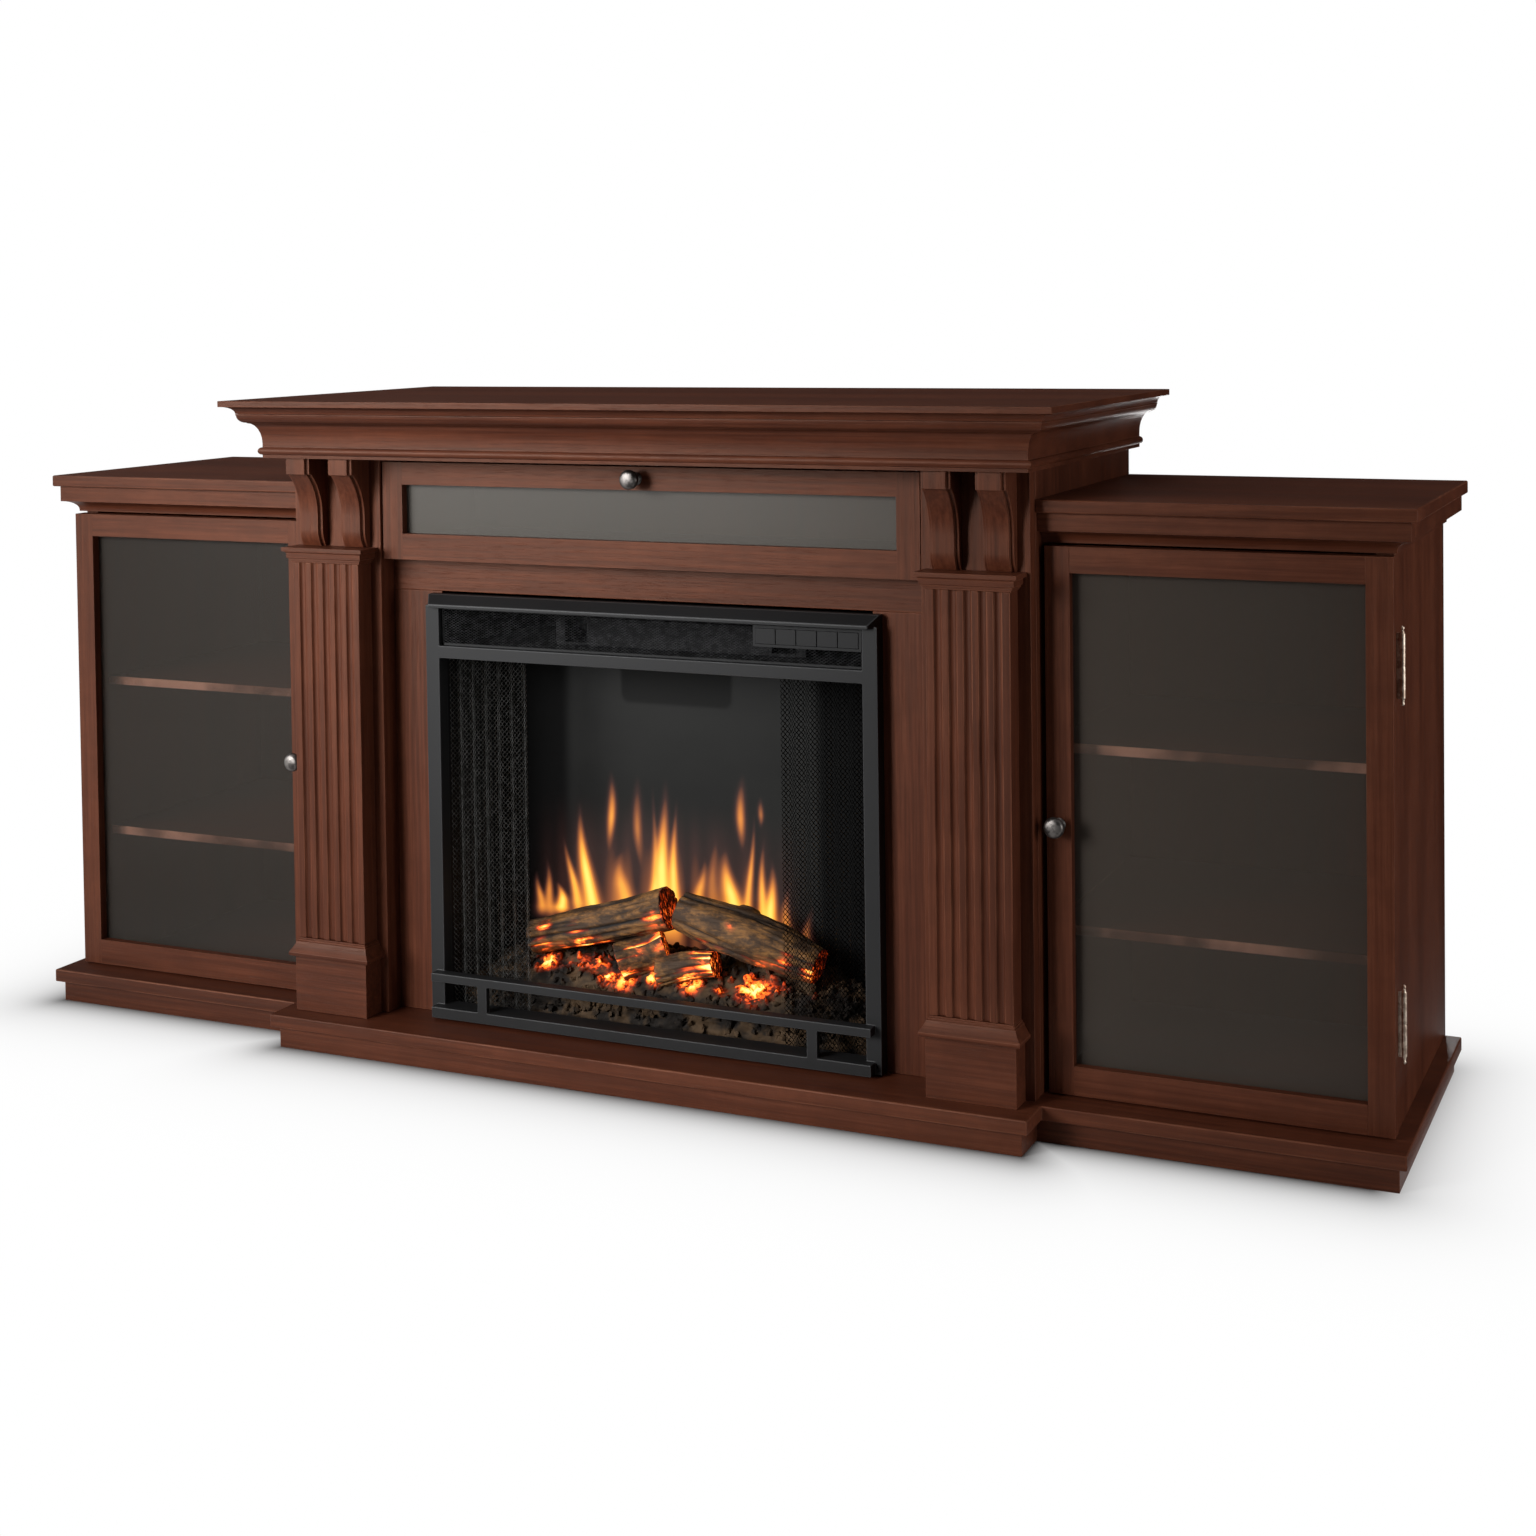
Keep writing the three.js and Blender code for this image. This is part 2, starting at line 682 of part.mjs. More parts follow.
function hinge() {
  const half = hingeBarrelLength / 2;
  const turned = finialShares.map(([r, h]) => [r * hingeBarrelRadius, half + h * hingeFinialLength]);
  const upper = [[hingeBarrelRadius, half], ...turned, [0, half + hingeFinialLength]];
  const lower = upper.map(([r, h]) => [r, -h]).reverse();
  const outline = [...lower, ...upper].map(([r, h]) => new THREE.Vector2(r, h));
  const barrel = new THREE.LatheGeometry(outline, barrelSides).rotateX(Math.PI / 2);
  const leaf = boxBetween([-hingeLeafWidth, -hingeLeafThickness / 2, -half],
    [0, hingeLeafThickness / 2, half]);
  return joined(barrel, leaf);
}

function makeDoors() {
  const [doorBottom, doorTop] = [floorZ + doorBottomGap, apronBottom - doorTopGap];
  const doorInnerEdge = bodyHalf + doorInnerGap;
  for (const [side, sign] of sides) {
    const swing = new THREE.Group();
    swing.position.set(sign * hingeX, hingeY, 0);
    console3d.add(swing);
    const edges = [sign * (doorInnerEdge - hingeX), sign * (doorOuterEdge - hingeX)];
    const { frame, pane } = glazedFrame({
      x0: Math.min(...edges),
      x1: Math.max(...edges),
      z0: doorBottom,
      z1: doorTop,
      stile: doorStileWidth,
      topRail: doorTopRailHeight,
      bottomRail: doorBottomRailHeight,
      yFront: out(doorFront) - hingeY,
      yBack: out(doorBack) - hingeY,
    });
    place(swing, `door_frame_${side}`, frame, wood);
    place(swing, `door_glass_${side}`, pane, smokedGlass);
    const knobX = sign * (doorInnerEdge + doorStileWidth / 2 - hingeX);
    placeKnob(swing, `door_knob_${side}`, knobX, out(doorFront) - hingeY - seam, doorBottom + doorKnobRise);
    const heights = [['lower', doorBottom + hingeEndDistance], ['upper', doorTop - hingeEndDistance]];
    for (const [level, z] of heights) {
      const position = [sign * hingeX, hingeY, z];
      place(console3d, `${level}_hinge_${side}`, onSide(sign, hinge()), antiqueBrass, position);
    }
  }
}

// Flap over the media bay, turning on two pins near its lower back edge
function makeFlap() {
  const swing = new THREE.Group();
  swing.position.set(0, pivotY, pivotZ);
  console3d.add(swing);
  const end = postInner - flapEndGap;
  const front = out(flapFront) - pivotY;
  const top = flapTop - pivotZ;
  const { frame, pane } = glazedFrame({
    x0: -end,
    x1: end,
    z0: flapBottom - pivotZ,
    z1: top,
    stile: flapStileWidth,
    topRail: flapTopRailHeight,
    bottomRail: flapBottomRailHeight,
    yFront: front,
    yBack: front + flapThickness,
  });
  const reach = flapEndGap + flapPivotInset;
  const pins = sides.map(([, sign]) => rodAlongX(flapPivotRadius, reach + overrun, barrelSides)
    .translate(sign * (end + (reach - overrun) / 2), 0, 0));
  place(swing, 'flap_frame', joined(frame, ...pins), wood);
  place(swing, 'flap_glass', pane, smokedGlass);
  placeKnob(swing, 'flap_knob', 0, front - seam, top - flapTopRailHeight / 2);
}

// Pilaster shaft with flutes down its face
const pilasterBack = out(postDepth + seam);
const footTop = floorZ + footBlockHeight + footMouldingHeight;

function shaftGeometry() {
  const half = shaftWidth / 2;
  const front = out(postDepth + shaftProud);
  const span = (fluteCount - 1) * flutePitch;
  const flutes = [];
  for (let i = 0; i < fluteCount; i += 1) {
    const middle = i * flutePitch - span / 2;
    for (let s = 0; s <= arcSteps; s += 1) {
      const angle = (s / arcSteps) * Math.PI;
      flutes.push([middle - (fluteWidth / 2) * Math.cos(angle), front + fluteSink * Math.sin(angle)]);
    }
  }
  const outline = [[-half, front], ...flutes, [half, front], [half, pilasterBack], [-half, pilasterBack]];
  return upright(outline, footTop + seam, capTop - capHeight - seam);
}

// Cap and foot mouldings from the bottom up: shares of their overhang and of their height
const capShares = [[0.8, 0], [0.8, 0.13], [0.62, 0.13], [0.62, 0.26], [0.42, 0.3], [0.4, 0.62],
  [0.22, 0.72], [0, 0.74], [0, 1]];
const footShares = [[0.12, 0.05], [0, 0.14], [0, 0.26], [0.14, 0.34], [0.38, 0.5], [0.66, 0.72],
  [0.7, 0.82], [0.86, 0.83], [0.87, 0.92], [1, 0.93], [1, 1]];
const footBlockShare = 0.63;

function capGeometry() {
  const half = shaftWidth / 2 + capOverhang;
  const yFront = out(postDepth + capProud);
  const profile = capShares.map(([inset, rise]) => [inset * capOverhang, capTop - capHeight * (1 - rise)]);
  return mouldedBlock({ x0: -half, x1: half, yFront, yBack: pilasterBack, profile });
}

function footGeometry() {
  const half = shaftWidth / 2 + footOverhang;
  const blockTop = floorZ + footBlockHeight;
  const blockInset = footBlockShare * footOverhang;
  const yFront = out(postDepth + footProud);
  const moulding = footShares.map(
    ([inset, rise]) => [inset * footOverhang, blockTop + rise * footMouldingHeight]);
  const profile = [[blockInset, floorZ], [blockInset, blockTop], ...moulding];
  return mouldedBlock({ x0: -half, x1: half, yFront, yBack: pilasterBack, profile });
}

// Side view of a corbel: square head, hollow neck, upright body and rounded toe
function corbelOutline(setback) {
  const [bottom, top] = [capTop + seam, crownBottom - seam];
  const head = out(postDepth + corbelHeadProud - setback);
  const body = out(postDepth + corbelBodyProud - setback);
  const headBottom = top - corbelHeadHeight;
  const neckRun = corbelHeadProud - corbelNeckStep - corbelBodyProud;
  const toe = leaningArc([body, bottom + corbelToeHeight], corbelToeRun, -corbelToeHeight).reverse();
  const neck = leaningArc([body, headBottom - corbelCoveHeight], -neckRun, corbelCoveHeight);
  return [[pilasterBack, bottom], ...toe, ...neck, [head, headBottom], [head, top], [pilasterBack, top]];
}

function corbelGeometry() {
  const layers = crosswise(corbelOutline(corbelLayerSetback), -corbelWidth / 2, corbelWidth / 2);
  const band = crosswise(corbelOutline(0), -corbelBandWidth / 2, corbelBandWidth / 2);
  return joined(layers, band);
}

function makePilasters() {
  for (const [side, sign] of sides) {
    const group = new THREE.Group();
    group.position.x = sign * (postInner + postWidth / 2);
    console3d.add(group);
    place(group, `pilaster_shaft_${side}`, shaftGeometry(), wood);
    place(group, `pilaster_cap_${side}`, capGeometry(), wood);
    place(group, `pilaster_foot_${side}`, footGeometry(), wood);
    place(group, `inner_corbel_${side}`, corbelGeometry(), wood, [-sign * corbelOffset, 0, 0]);
    place(group, `outer_corbel_${side}`, corbelGeometry(), wood, [sign * corbelOffset, 0, 0]);
  }
}

// Firebox shell: open front, heater space over the chamber, spindle boss and cord gland
const shellHalf = shellWidth / 2;
const chamberHalf = shellHalf - sheetThickness;
const spindleY = out(surroundDepth - spindleSetback);
const spindleZ = floorZ + spindleRise;

function makeShell() {
  const [front, back] = [out(surroundDepth), out(surroundDepth - shellDepth)];
  const body = boxBetween([-shellHalf, front, floorZ], [shellHalf, back, shellTop]);
  const chamber = boxBetween([-chamberHalf, front - overrun, chamberFloor],
    [chamberHalf, back - sheetThickness, chamberTop]);
  const heaterSpace = boxBetween([-chamberHalf, front - overrun, chamberTop + sheetThickness],
    [chamberHalf, back - sheetThickness, shellTop - sheetThickness]);
  const glandMiddle = [glandOffset, back + (glandLength - sheetThickness) / 2, floorZ + glandRise];
  const glandReach = glandLength + sheetThickness;
  const gland = new THREE.CylinderGeometry(glandRadius, glandRadius, glandReach, turnedSides);
  const glandBore = new THREE.CylinderGeometry(
    glandBoreRadius, glandBoreRadius, glandReach + 2 * overrun, turnedSides);
  const bossMiddle = bossLength / 2 - chamberHalf;
  const boss = rodAlongX(bossRadius, bossLength + sheetThickness, turnedSides)
    .translate(bossMiddle - sheetThickness / 2, spindleY, spindleZ);
  const bossBore = rodAlongX(spindleRadius + runningFit, bossLength + overrun, turnedSides)
    .translate(bossMiddle + overrun / 2, spindleY, spindleZ);
  const fitted = joined(cut(body, chamber, heaterSpace), gland.translate(...glandMiddle), boss);
  place(console3d, 'firebox_shell', cut(fitted, glandBore.translate(...glandMiddle), bossBore), blackMetal);
}

// Flange frame with its bar, sloping hood and the trim across the foot
const flangeHalf = flangeWidth / 2;
const flangeOpening = flangeHalf - flangeStileWidth;

function makeFireboxFront() {
  const back = out(surroundDepth + seam);
  const frame = frontal(rectangle(-flangeHalf, flangeHalf, flangeBottom, grilleBandTop + overrun),
    out(flangeDepth), back, [
      rectangle(-flangeOpening, flangeOpening, flangeBottom + flangeSillHeight, barBottom),
      rectangle(-flangeOpening, flangeOpening, grilleBandBottom, grilleBandTop),
    ]);
  const hoodSection = (half, y, top) => rectangle(-half, half, grilleBandTop, top).map(([x, z]) => [x, y, z]);
  const hood = loft([
    hoodSection(flangeHalf, back, hoodTop),
    hoodSection(flangeHalf, out(flangeDepth - hoodShoulderSetback), hoodTop),
    hoodSection(flangeHalf - hoodLipInset, out(flangeDepth + hoodProjection), grilleBandTop + hoodLipHeight),
  ], rectangle(-flangeHalf, flangeHalf, grilleBandTop, hoodTop));

  const trimFront = out(flangeDepth + trimProud);
  const root = out(flangeDepth - overrun);
  const trimHalf = flangeHalf - trimInset;
  const lowerBottom = flangeBottom + trimLift;
  const lowerTop = lowerBottom + trimLowerHeight;
  const upperBottom = lowerTop + trimGap;
  const lowerBar = boxBetween([-trimHalf, trimFront, lowerBottom], [trimHalf, root, lowerTop]);
  const upperBar = boxBetween([-trimHalf, trimFront, upperBottom],
    [trimHalf, root, upperBottom + trimUpperHeight]);
  const posts = sides.map(([, sign]) => boxBetween(
    [sign * (trimPostOffset - trimPostWidth / 2), trimFront, lowerTop - overrun],
    [sign * (trimPostOffset + trimPostWidth / 2), trimFront + trimPostThickness, upperBottom + overrun]));
  place(console3d, 'firebox_front', joined(frame, hood, lowerBar, upperBar, ...posts), blackMetal);
}

// Vent grille: a net of lozenge gaps, with the control bezel in its upper right corner
const grilleHalf = flangeOpening - seam;
const grilleBottom = grilleBandBottom + seam;
const grilleTop = grilleBandTop - seam;
const bezelOuter = grilleHalf - bezelEndGap;
const bezelInner = bezelOuter - bezelWidth;
const bezelTop = grilleTop - bezelTopGap;
const bezelBottom = bezelTop - bezelHeight;
const bezelFront = out(flangeDepth - bezelSetback);

function grilleGaps() {
  const [halfWidth, halfHeight] = [grilleGapWidth / 2, grilleGapHeight / 2];
  const middleZ = (grilleBottom + grilleTop) / 2;
  const gaps = [];
  for (let row = 0; row < grilleRowCount; row += 1) {
    const z = middleZ + (row - (grilleRowCount - 1) / 2) * grilleRowPitch;
    const shift = (row % 2) * (grillePitch / 2);
    const perSide = Math.floor((grilleHalf - grilleMargin - halfWidth - shift) / grillePitch);
    for (let column = -perSide - (row % 2); column <= perSide; column += 1) {
      const x = column * grillePitch + shift;
      const underBezel = x + grilleGapWidth > bezelInner && z + grilleGapHeight > bezelBottom;
      const lozenge = [[x - halfWidth, z], [x, z - halfHeight], [x + halfWidth, z], [x, z + halfHeight]];
      if (!underBezel) gaps.push(lozenge);
    }
  }
  return gaps;
}

function makeGrille() {
  const plateFront = out(flangeDepth - grilleSetback);
  const plateBack = plateFront + grilleThickness;
  const plate = frontal(rectangle(-grilleHalf, grilleHalf, grilleBottom, grilleTop), plateFront, plateBack);
  const gaps = grilleGaps().map((gap) => frontal(gap, plateFront - overrun, plateBack + overrun));
  const bezelBack = bezelFront + bezelThickness;
  const bezel = boxBetween([bezelInner, bezelFront, bezelBottom], [bezelOuter, bezelBack, bezelTop]);
  const pocket = boxBetween([bezelInner + bezelBorder, bezelFront - overrun, bezelBottom + bezelBorder],
    [bezelOuter - bezelBorder, bezelBack - bezelFloorThickness, bezelTop - bezelBorder]);
  place(console3d, 'vent_grille', cut(joined(cut(plate, ...gaps), bezel), pocket), darkMesh);

  const first = bezelInner + bezelBorder + seam;
  const room = bezelWidth - 2 * (bezelBorder + seam);
  const width = (room - (buttonCount - 1) * buttonGap) / buttonCount;
  const height = bezelHeight - 2 * (bezelBorder + seam);
  const y = bezelFront - buttonProud + buttonThickness / 2;
  for (let i = 0; i < buttonCount; i += 1) {
    const button = new THREE.BoxGeometry(width, buttonThickness, height);
    const x = first + width / 2 + i * (width + buttonGap);
    place(console3d, `control_button_${i + 1}`, button, blackPlastic, [x, y, (bezelBottom + bezelTop) / 2]);
  }
}

// Pleated mesh curtains that hang behind the frame
function curtainGeometry() {
  const outer = flangeOpening - seam;
  const steps = curtainFolds * arcSteps;
  const middle = out(surroundDepth - curtainSetback);
  const edge = (offset) => Array.from({ length: steps + 1 }, (_, i) => {
    const swing = curtainSwing * Math.cos((i / steps) * curtainFolds * 2 * Math.PI);
    return [outer - (i / steps) * curtainWidth, middle - swing + offset];
  });
  const outline = [...edge(-curtainSheet / 2), ...edge(curtainSheet / 2).reverse()];
  return upright(outline, chamberFloor + seam, chamberTop - seam);
}

// Bark-covered log: a tapering cylinder whose radius swells round it and along it.
// Each row of the table holds a share of the radius, the swells round the log and those along it.
const barkShares = [[0.07, 3, 9], [0.05, 5, -7]];

function logBetween(start, end, radius, endShare) {
  const from = new THREE.Vector3(...start);
  const along = new THREE.Vector3(...end).sub(from);
  const length = along.length();
  const log = new THREE.CylinderGeometry(radius * endShare, radius, length, barrelSides, arcSteps);
  const points = log.attributes.position;
  for (let i = 0; i < points.count; i += 1) {
    const [x, y, z] = [points.getX(i), points.getY(i), points.getZ(i)];
    const [angle, lengthShare] = [Math.atan2(z, x), y / length];
    const swell = barkShares.reduce(
      (sum, [share, round, down]) => sum + share * Math.sin(round * angle + down * lengthShare), 1);
    points.setXYZ(i, x * swell, y, z * swell);
  }
  const turn = new THREE.Quaternion();
  turn.setFromUnitVectors(new THREE.Vector3(0, 1, 0), along.clone().normalize());
  const middle = from.addScaledVector(along, 1 / 2);
  return log.applyQuaternion(turn).translate(middle.x, middle.y, middle.z);
}

// Ember bed: a block whose top rises to the back in uneven lumps and falls off at both ends.
// Each row of the table holds the share of the ripple, then the turn of its wave per column and row.
const bedWaveShares = [[1, 1.9, 2.3], [1, 0.8, -1.7]];
const bedEndShare = 0.45;
const bedFront = surroundDepth - bedSetback;
const bedBottom = chamberFloor + seam;

function emberBed() {
  const ring = (i) => {
    const across = (2 * i) / bedColumnCount - 1;
    const x = (across * bedWidth) / 2;
    const top = Array.from({ length: bedRowCount + 1 }, (_, j) => {
      const back = j / bedRowCount;
      const height = bedFrontHeight + (bedBackHeight - bedFrontHeight) * Math.sqrt(back);
      const lump = bedWaveShares.reduce(
        (sum, [share, columnTurn, rowTurn]) => sum + share * Math.sin(i * columnTurn + j * rowTurn), 0);
      const fall = 1 - bedEndShare * across ** 4;
      return [x, out(bedFront - back * bedDepth), bedBottom + height * fall + bedRipple * lump];
    });
    return [[x, out(bedFront), bedBottom], ...top, [x, out(bedFront - bedDepth), bedBottom]];
  };
  const rings = Array.from({ length: bedColumnCount + 1 }, (_, i) => ring(i));
  return loft(rings, rings[0].map(([, y, z]) => [y, z]));
}

// Both ends of each log, then its radius and its taper: shares of half the bed's width,
// of its depth and of its height at the back, and of the thickest log's radius
const logShares = [
  [[-0.71, 0.47, 0.95], [-0.02, 0.48, 1.61], 0.77, 1.22],
  [[0.04, 0.49, 1.6], [0.7, 0.49, 1.0], 1, 0.9],
  [[-0.21, 0.28, 0.86], [-0.02, 0.52, 1.06], 0.81, 1.07],
  [[-0.08, 0.27, 0.86], [0.21, 0.3, 0.98], 0.69, 0.89],
];

function makeFire() {
  for (const [side, sign] of sides) {
    place(console3d, `mesh_curtain_${side}`, onSide(sign, curtainGeometry()), darkMesh);
  }
  const screenFront = out(surroundDepth - screenSetback);
  const screen = boxBetween([-(chamberHalf - seam), screenFront, chamberFloor + seam],
    [chamberHalf - seam, screenFront + screenThickness, chamberTop - seam]);
  place(console3d, 'flame_screen', screen, greyScreen);

  const at = ([across, back, up]) => [
    (across * bedWidth) / 2,
    out(bedFront - back * bedDepth),
    bedBottom + up * bedBackHeight,
  ];
  const logs = logShares.map(([start, end, radiusShare, endShare]) => logBetween(
    at(start), at(end), radiusShare * logRadius, endShare));
  place(console3d, 'log_and_ember_set', joined(emberBed(), ...logs), charredResin);
}

// Flicker spindle with reflector fins, turning in the shell's boss and in its motor
function makeFlicker() {
  const motorX = chamberHalf - seam - motorLength;
  const left = seam - chamberHalf;
  const right = motorX + motorBoreDepth - runningFit;
  const axle = rodAlongX(spindleRadius, right - left, turnedSides).translate((left + right) / 2, 0, 0);
  const finStart = bossLength - chamberHalf;
  const pitch = (motorX - finStart) / finCount;
  const fins = Array.from({ length: finCount }, (_, i) => {
    const fin = new THREE.BoxGeometry(finLength, finWidth, finThickness);
    return fin.rotateX(i * finTurnShare * 2 * Math.PI).translate(finStart + (i + 1 / 2) * pitch, 0, 0);
  });
  place(console3d, 'flicker_spindle', joined(axle, ...fins), brightSteel, [0, spindleY, spindleZ]);

  const motor = boxBetween([motorX, spindleY - motorSize / 2, chamberFloor + seam],
    [motorX + motorLength, spindleY + motorSize / 2, spindleZ + motorSize / 2]);
  const bore = rodAlongX(spindleRadius + runningFit, motorBoreDepth + overrun, turnedSides)
    .translate(motorX + (motorBoreDepth - overrun) / 2, spindleY, spindleZ);
  place(console3d, 'flicker_motor', cut(motor, bore), blackPlastic);
}

// Cross-flow blower wheel between the end plates of the heater unit
function makeBlower() {
  const floor = chamberTop + sheetThickness + seam;
  const wheelZ = (floor + heaterPlateThickness + shellTop - sheetThickness) / 2;
  const wheelY = out(surroundDepth - blowerSetback);
  const half = blowerLength / 2;
  const vanes = Array.from({ length: vaneCount }, (_, i) => {
    const vane = new THREE.BoxGeometry(blowerLength, vaneWidth, vaneThickness);
    vane.translate(0, blowerRadius - vaneThickness - vaneWidth / 2, 0);
    return vane.rotateX((i / vaneCount) * 2 * Math.PI);
  });
  const discs = sides.map(([, sign]) => rodAlongX(blowerRadius, discThickness, turnedSides)
    .translate(sign * (half - discThickness / 2), 0, 0));
  const axle = rodAlongX(axleRadius, blowerLength + 2 * axleReach, turnedSides);
  place(console3d, 'blower_wheel', joined(axle, ...discs, ...vanes), brightSteel, [0, wheelY, wheelZ]);

  const plateInner = half + runningFit;
  const plateOuter = plateInner + axleReach + heaterPlateThickness;
  const front = wheelY - blowerRadius - elementGap - elementWidth;
  const back = wheelY + blowerRadius + heaterPlateThickness;
  const plates = sides.map(([, sign]) => boxBetween(
    [sign * plateInner, front, floor], [sign * plateOuter, back, wheelZ + blowerRadius]));
  const floorPlate = boxBetween([-(plateInner + overrun), front, floor],
    [plateInner + overrun, back, floor + heaterPlateThickness]);
  const element = boxBetween([-elementLength / 2, front, floor],
    [elementLength / 2, front + elementWidth, floor + heaterPlateThickness + elementHeight]);
  const boreDepth = axleReach + runningFit;
  const bores = sides.map(([, sign]) => rodAlongX(axleRadius + runningFit, boreDepth + overrun, turnedSides)
    .translate(sign * (plateInner + (boreDepth - overrun) / 2), wheelY, wheelZ));
  place(console3d, 'heater_unit', cut(joined(floorPlate, element, ...plates), ...bores), blackMetal);
}

makeBase();
makeBackPanel();
makeCarcass();
makePosts();
makeSurround();
makeCentreTop();
makeCrown();
makeCabinetTops();
makeDoors();
makeFlap();
makePilasters();
makeShell();
makeFireboxFront();
makeGrille();
makeFire();
makeFlicker();
makeBlower();

export default console3d;
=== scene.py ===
# %% [markdown]
# # A media console with an electric fireplace
# The real object is a long, low cabinet of stained wood. A tall centre section holds an electric
# fireplace, and a glazed cabinet stands on either side of it.
# The CAD model fixes every size and every joint. This script dresses it: it softens the edges of
# the boards, weaves the wire nets, builds the fire, and gives each surface its finish.
# Everything is in metres. X runs across, Y runs from the room (negative) to the wall, Z is up.

# %% Load the packed frame
import json
import math

import bmesh
import bpy
import numpy as np
from mathutils import Matrix, Vector, noise

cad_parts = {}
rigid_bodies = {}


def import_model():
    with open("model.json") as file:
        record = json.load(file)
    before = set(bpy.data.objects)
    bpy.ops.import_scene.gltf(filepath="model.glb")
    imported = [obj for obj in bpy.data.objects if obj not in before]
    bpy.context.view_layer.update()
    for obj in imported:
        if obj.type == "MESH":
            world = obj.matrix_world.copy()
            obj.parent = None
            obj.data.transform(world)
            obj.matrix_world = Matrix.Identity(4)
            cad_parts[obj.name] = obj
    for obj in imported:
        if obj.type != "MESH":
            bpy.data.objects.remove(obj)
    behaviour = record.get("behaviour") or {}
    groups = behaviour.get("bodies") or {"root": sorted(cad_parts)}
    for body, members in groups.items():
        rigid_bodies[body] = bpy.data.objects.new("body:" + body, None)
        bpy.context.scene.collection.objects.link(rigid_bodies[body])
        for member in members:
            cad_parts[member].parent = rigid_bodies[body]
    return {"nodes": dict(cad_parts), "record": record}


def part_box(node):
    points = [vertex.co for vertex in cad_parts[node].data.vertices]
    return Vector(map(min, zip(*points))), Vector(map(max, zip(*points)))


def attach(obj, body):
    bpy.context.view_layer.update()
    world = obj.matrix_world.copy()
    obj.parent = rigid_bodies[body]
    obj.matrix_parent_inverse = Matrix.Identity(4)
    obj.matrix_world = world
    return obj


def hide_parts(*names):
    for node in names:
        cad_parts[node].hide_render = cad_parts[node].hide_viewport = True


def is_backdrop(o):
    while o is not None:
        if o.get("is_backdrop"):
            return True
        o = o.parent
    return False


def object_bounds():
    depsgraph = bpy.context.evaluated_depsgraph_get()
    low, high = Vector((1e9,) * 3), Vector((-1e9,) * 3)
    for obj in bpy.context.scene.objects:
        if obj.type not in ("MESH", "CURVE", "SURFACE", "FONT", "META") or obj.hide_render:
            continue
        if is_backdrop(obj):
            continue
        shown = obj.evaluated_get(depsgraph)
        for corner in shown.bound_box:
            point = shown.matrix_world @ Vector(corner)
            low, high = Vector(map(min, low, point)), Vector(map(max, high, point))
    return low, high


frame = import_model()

MM = 0.001
cad_low, cad_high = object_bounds()
print("CAD box:", [round(v, 4) for v in cad_high - cad_low])

# %% [markdown]
# ## The camera
# A photograph of furniture is often taken with a shift lens: the camera is held almost level, so
# that upright edges stay upright, and the picture is moved up or down instead of tilting the
# camera. Blender has the same control, `shift_y`. The place, the turn and the lens below were
# solved from the edges of the furniture in the photograph, so a rendered corner falls where the
# real one does.

# %% Set the camera up
CAMERA_PLACE = Vector((1.1916, -2.4141, 0.8781))
YAW, PITCH, ROLL = 0.4257, -0.0301, -0.0128  # radians
LENS_LENGTH, FILM_WIDTH = 53.46, 36  # millimetres
LENS_SHIFT = -0.2567  # the part of the film's width by which the picture moves down

straight_up = Vector((0, 0, 1))
level = Vector((-math.sin(YAW), math.cos(YAW), 0))
ahead = level * math.cos(PITCH) + straight_up * math.sin(PITCH)
across = ahead.cross(straight_up).normalized()
above = across.cross(ahead)
right = across * math.cos(ROLL) + above * math.sin(ROLL)
upward = above * math.cos(ROLL) - across * math.sin(ROLL)

lens = bpy.data.cameras.new("view")
lens.lens, lens.sensor_width, lens.shift_y = LENS_LENGTH, FILM_WIDTH, LENS_SHIFT
lens.clip_start, lens.clip_end = 0.05, 60
camera = bpy.data.objects.new("view", lens)
facing = Matrix((right, upward, -ahead)).transposed().to_4x4()
camera.matrix_world = Matrix.Translation(CAMERA_PLACE) @ facing
bpy.context.scene.collection.objects.link(camera)
bpy.context.scene.camera = camera
camera_distance = (CAMERA_PLACE - (cad_low + cad_high) / 2).length
print("Camera stands", round(camera_distance, 2), "m from the console")

# %% [markdown]
# ## A small language for node trees
# Shaders and Geometry Nodes are both graphs of nodes. Written out with the plain API, each link
# takes a line, and a sum of two numbers takes four. Two small classes make that readable:
# `Socket` wraps one output and turns `a * b + 1` into Math nodes, and `Graph.node` makes any other
# node from its type, its settings and the values or links of its sockets.

# %% Wrap one socket
class Socket:
    """One output of a node. Python's arithmetic on it adds Math nodes to its graph."""

    def __init__(self, graph, plug):
        self.graph, self.plug = graph, plug

    def math(self, operation, *terms):
        return self.graph.node("ShaderNodeMath", {"operation": operation}, dict(enumerate(terms)))

    def __add__(self, other):
        return self.math("ADD", self, other)

    def __radd__(self, other):
        return self.math("ADD", other, self)

    def __sub__(self, other):
        return self.math("SUBTRACT", self, other)

    def __rsub__(self, other):
        return self.math("SUBTRACT", other, self)

    def __mul__(self, other):
        return self.math("MULTIPLY", self, other)

    def __rmul__(self, other):
        return self.math("MULTIPLY", other, self)

    def __truediv__(self, other):
        return self.math("DIVIDE", self, other)

    def larger(self, other):
        return self.math("MAXIMUM", self, other)

    def smaller(self, other):
        return self.math("MINIMUM", self, other)

    def cosine(self):
        return self.math("COSINE", self)

    def fading(self, length):
        """1 at 0, and smaller by a factor of e for each length."""
        return self.math("EXPONENT", self * (-1 / length))

    def between(self, low, high):
        """0 below low, 1 above high, and a smooth step from one to the other."""
        return self.graph.node(
            "ShaderNodeMapRange", {"interpolation_type": "SMOOTHSTEP", "clamp": True},
            {"Value": self, "From Min": low, "From Max": high},
        )


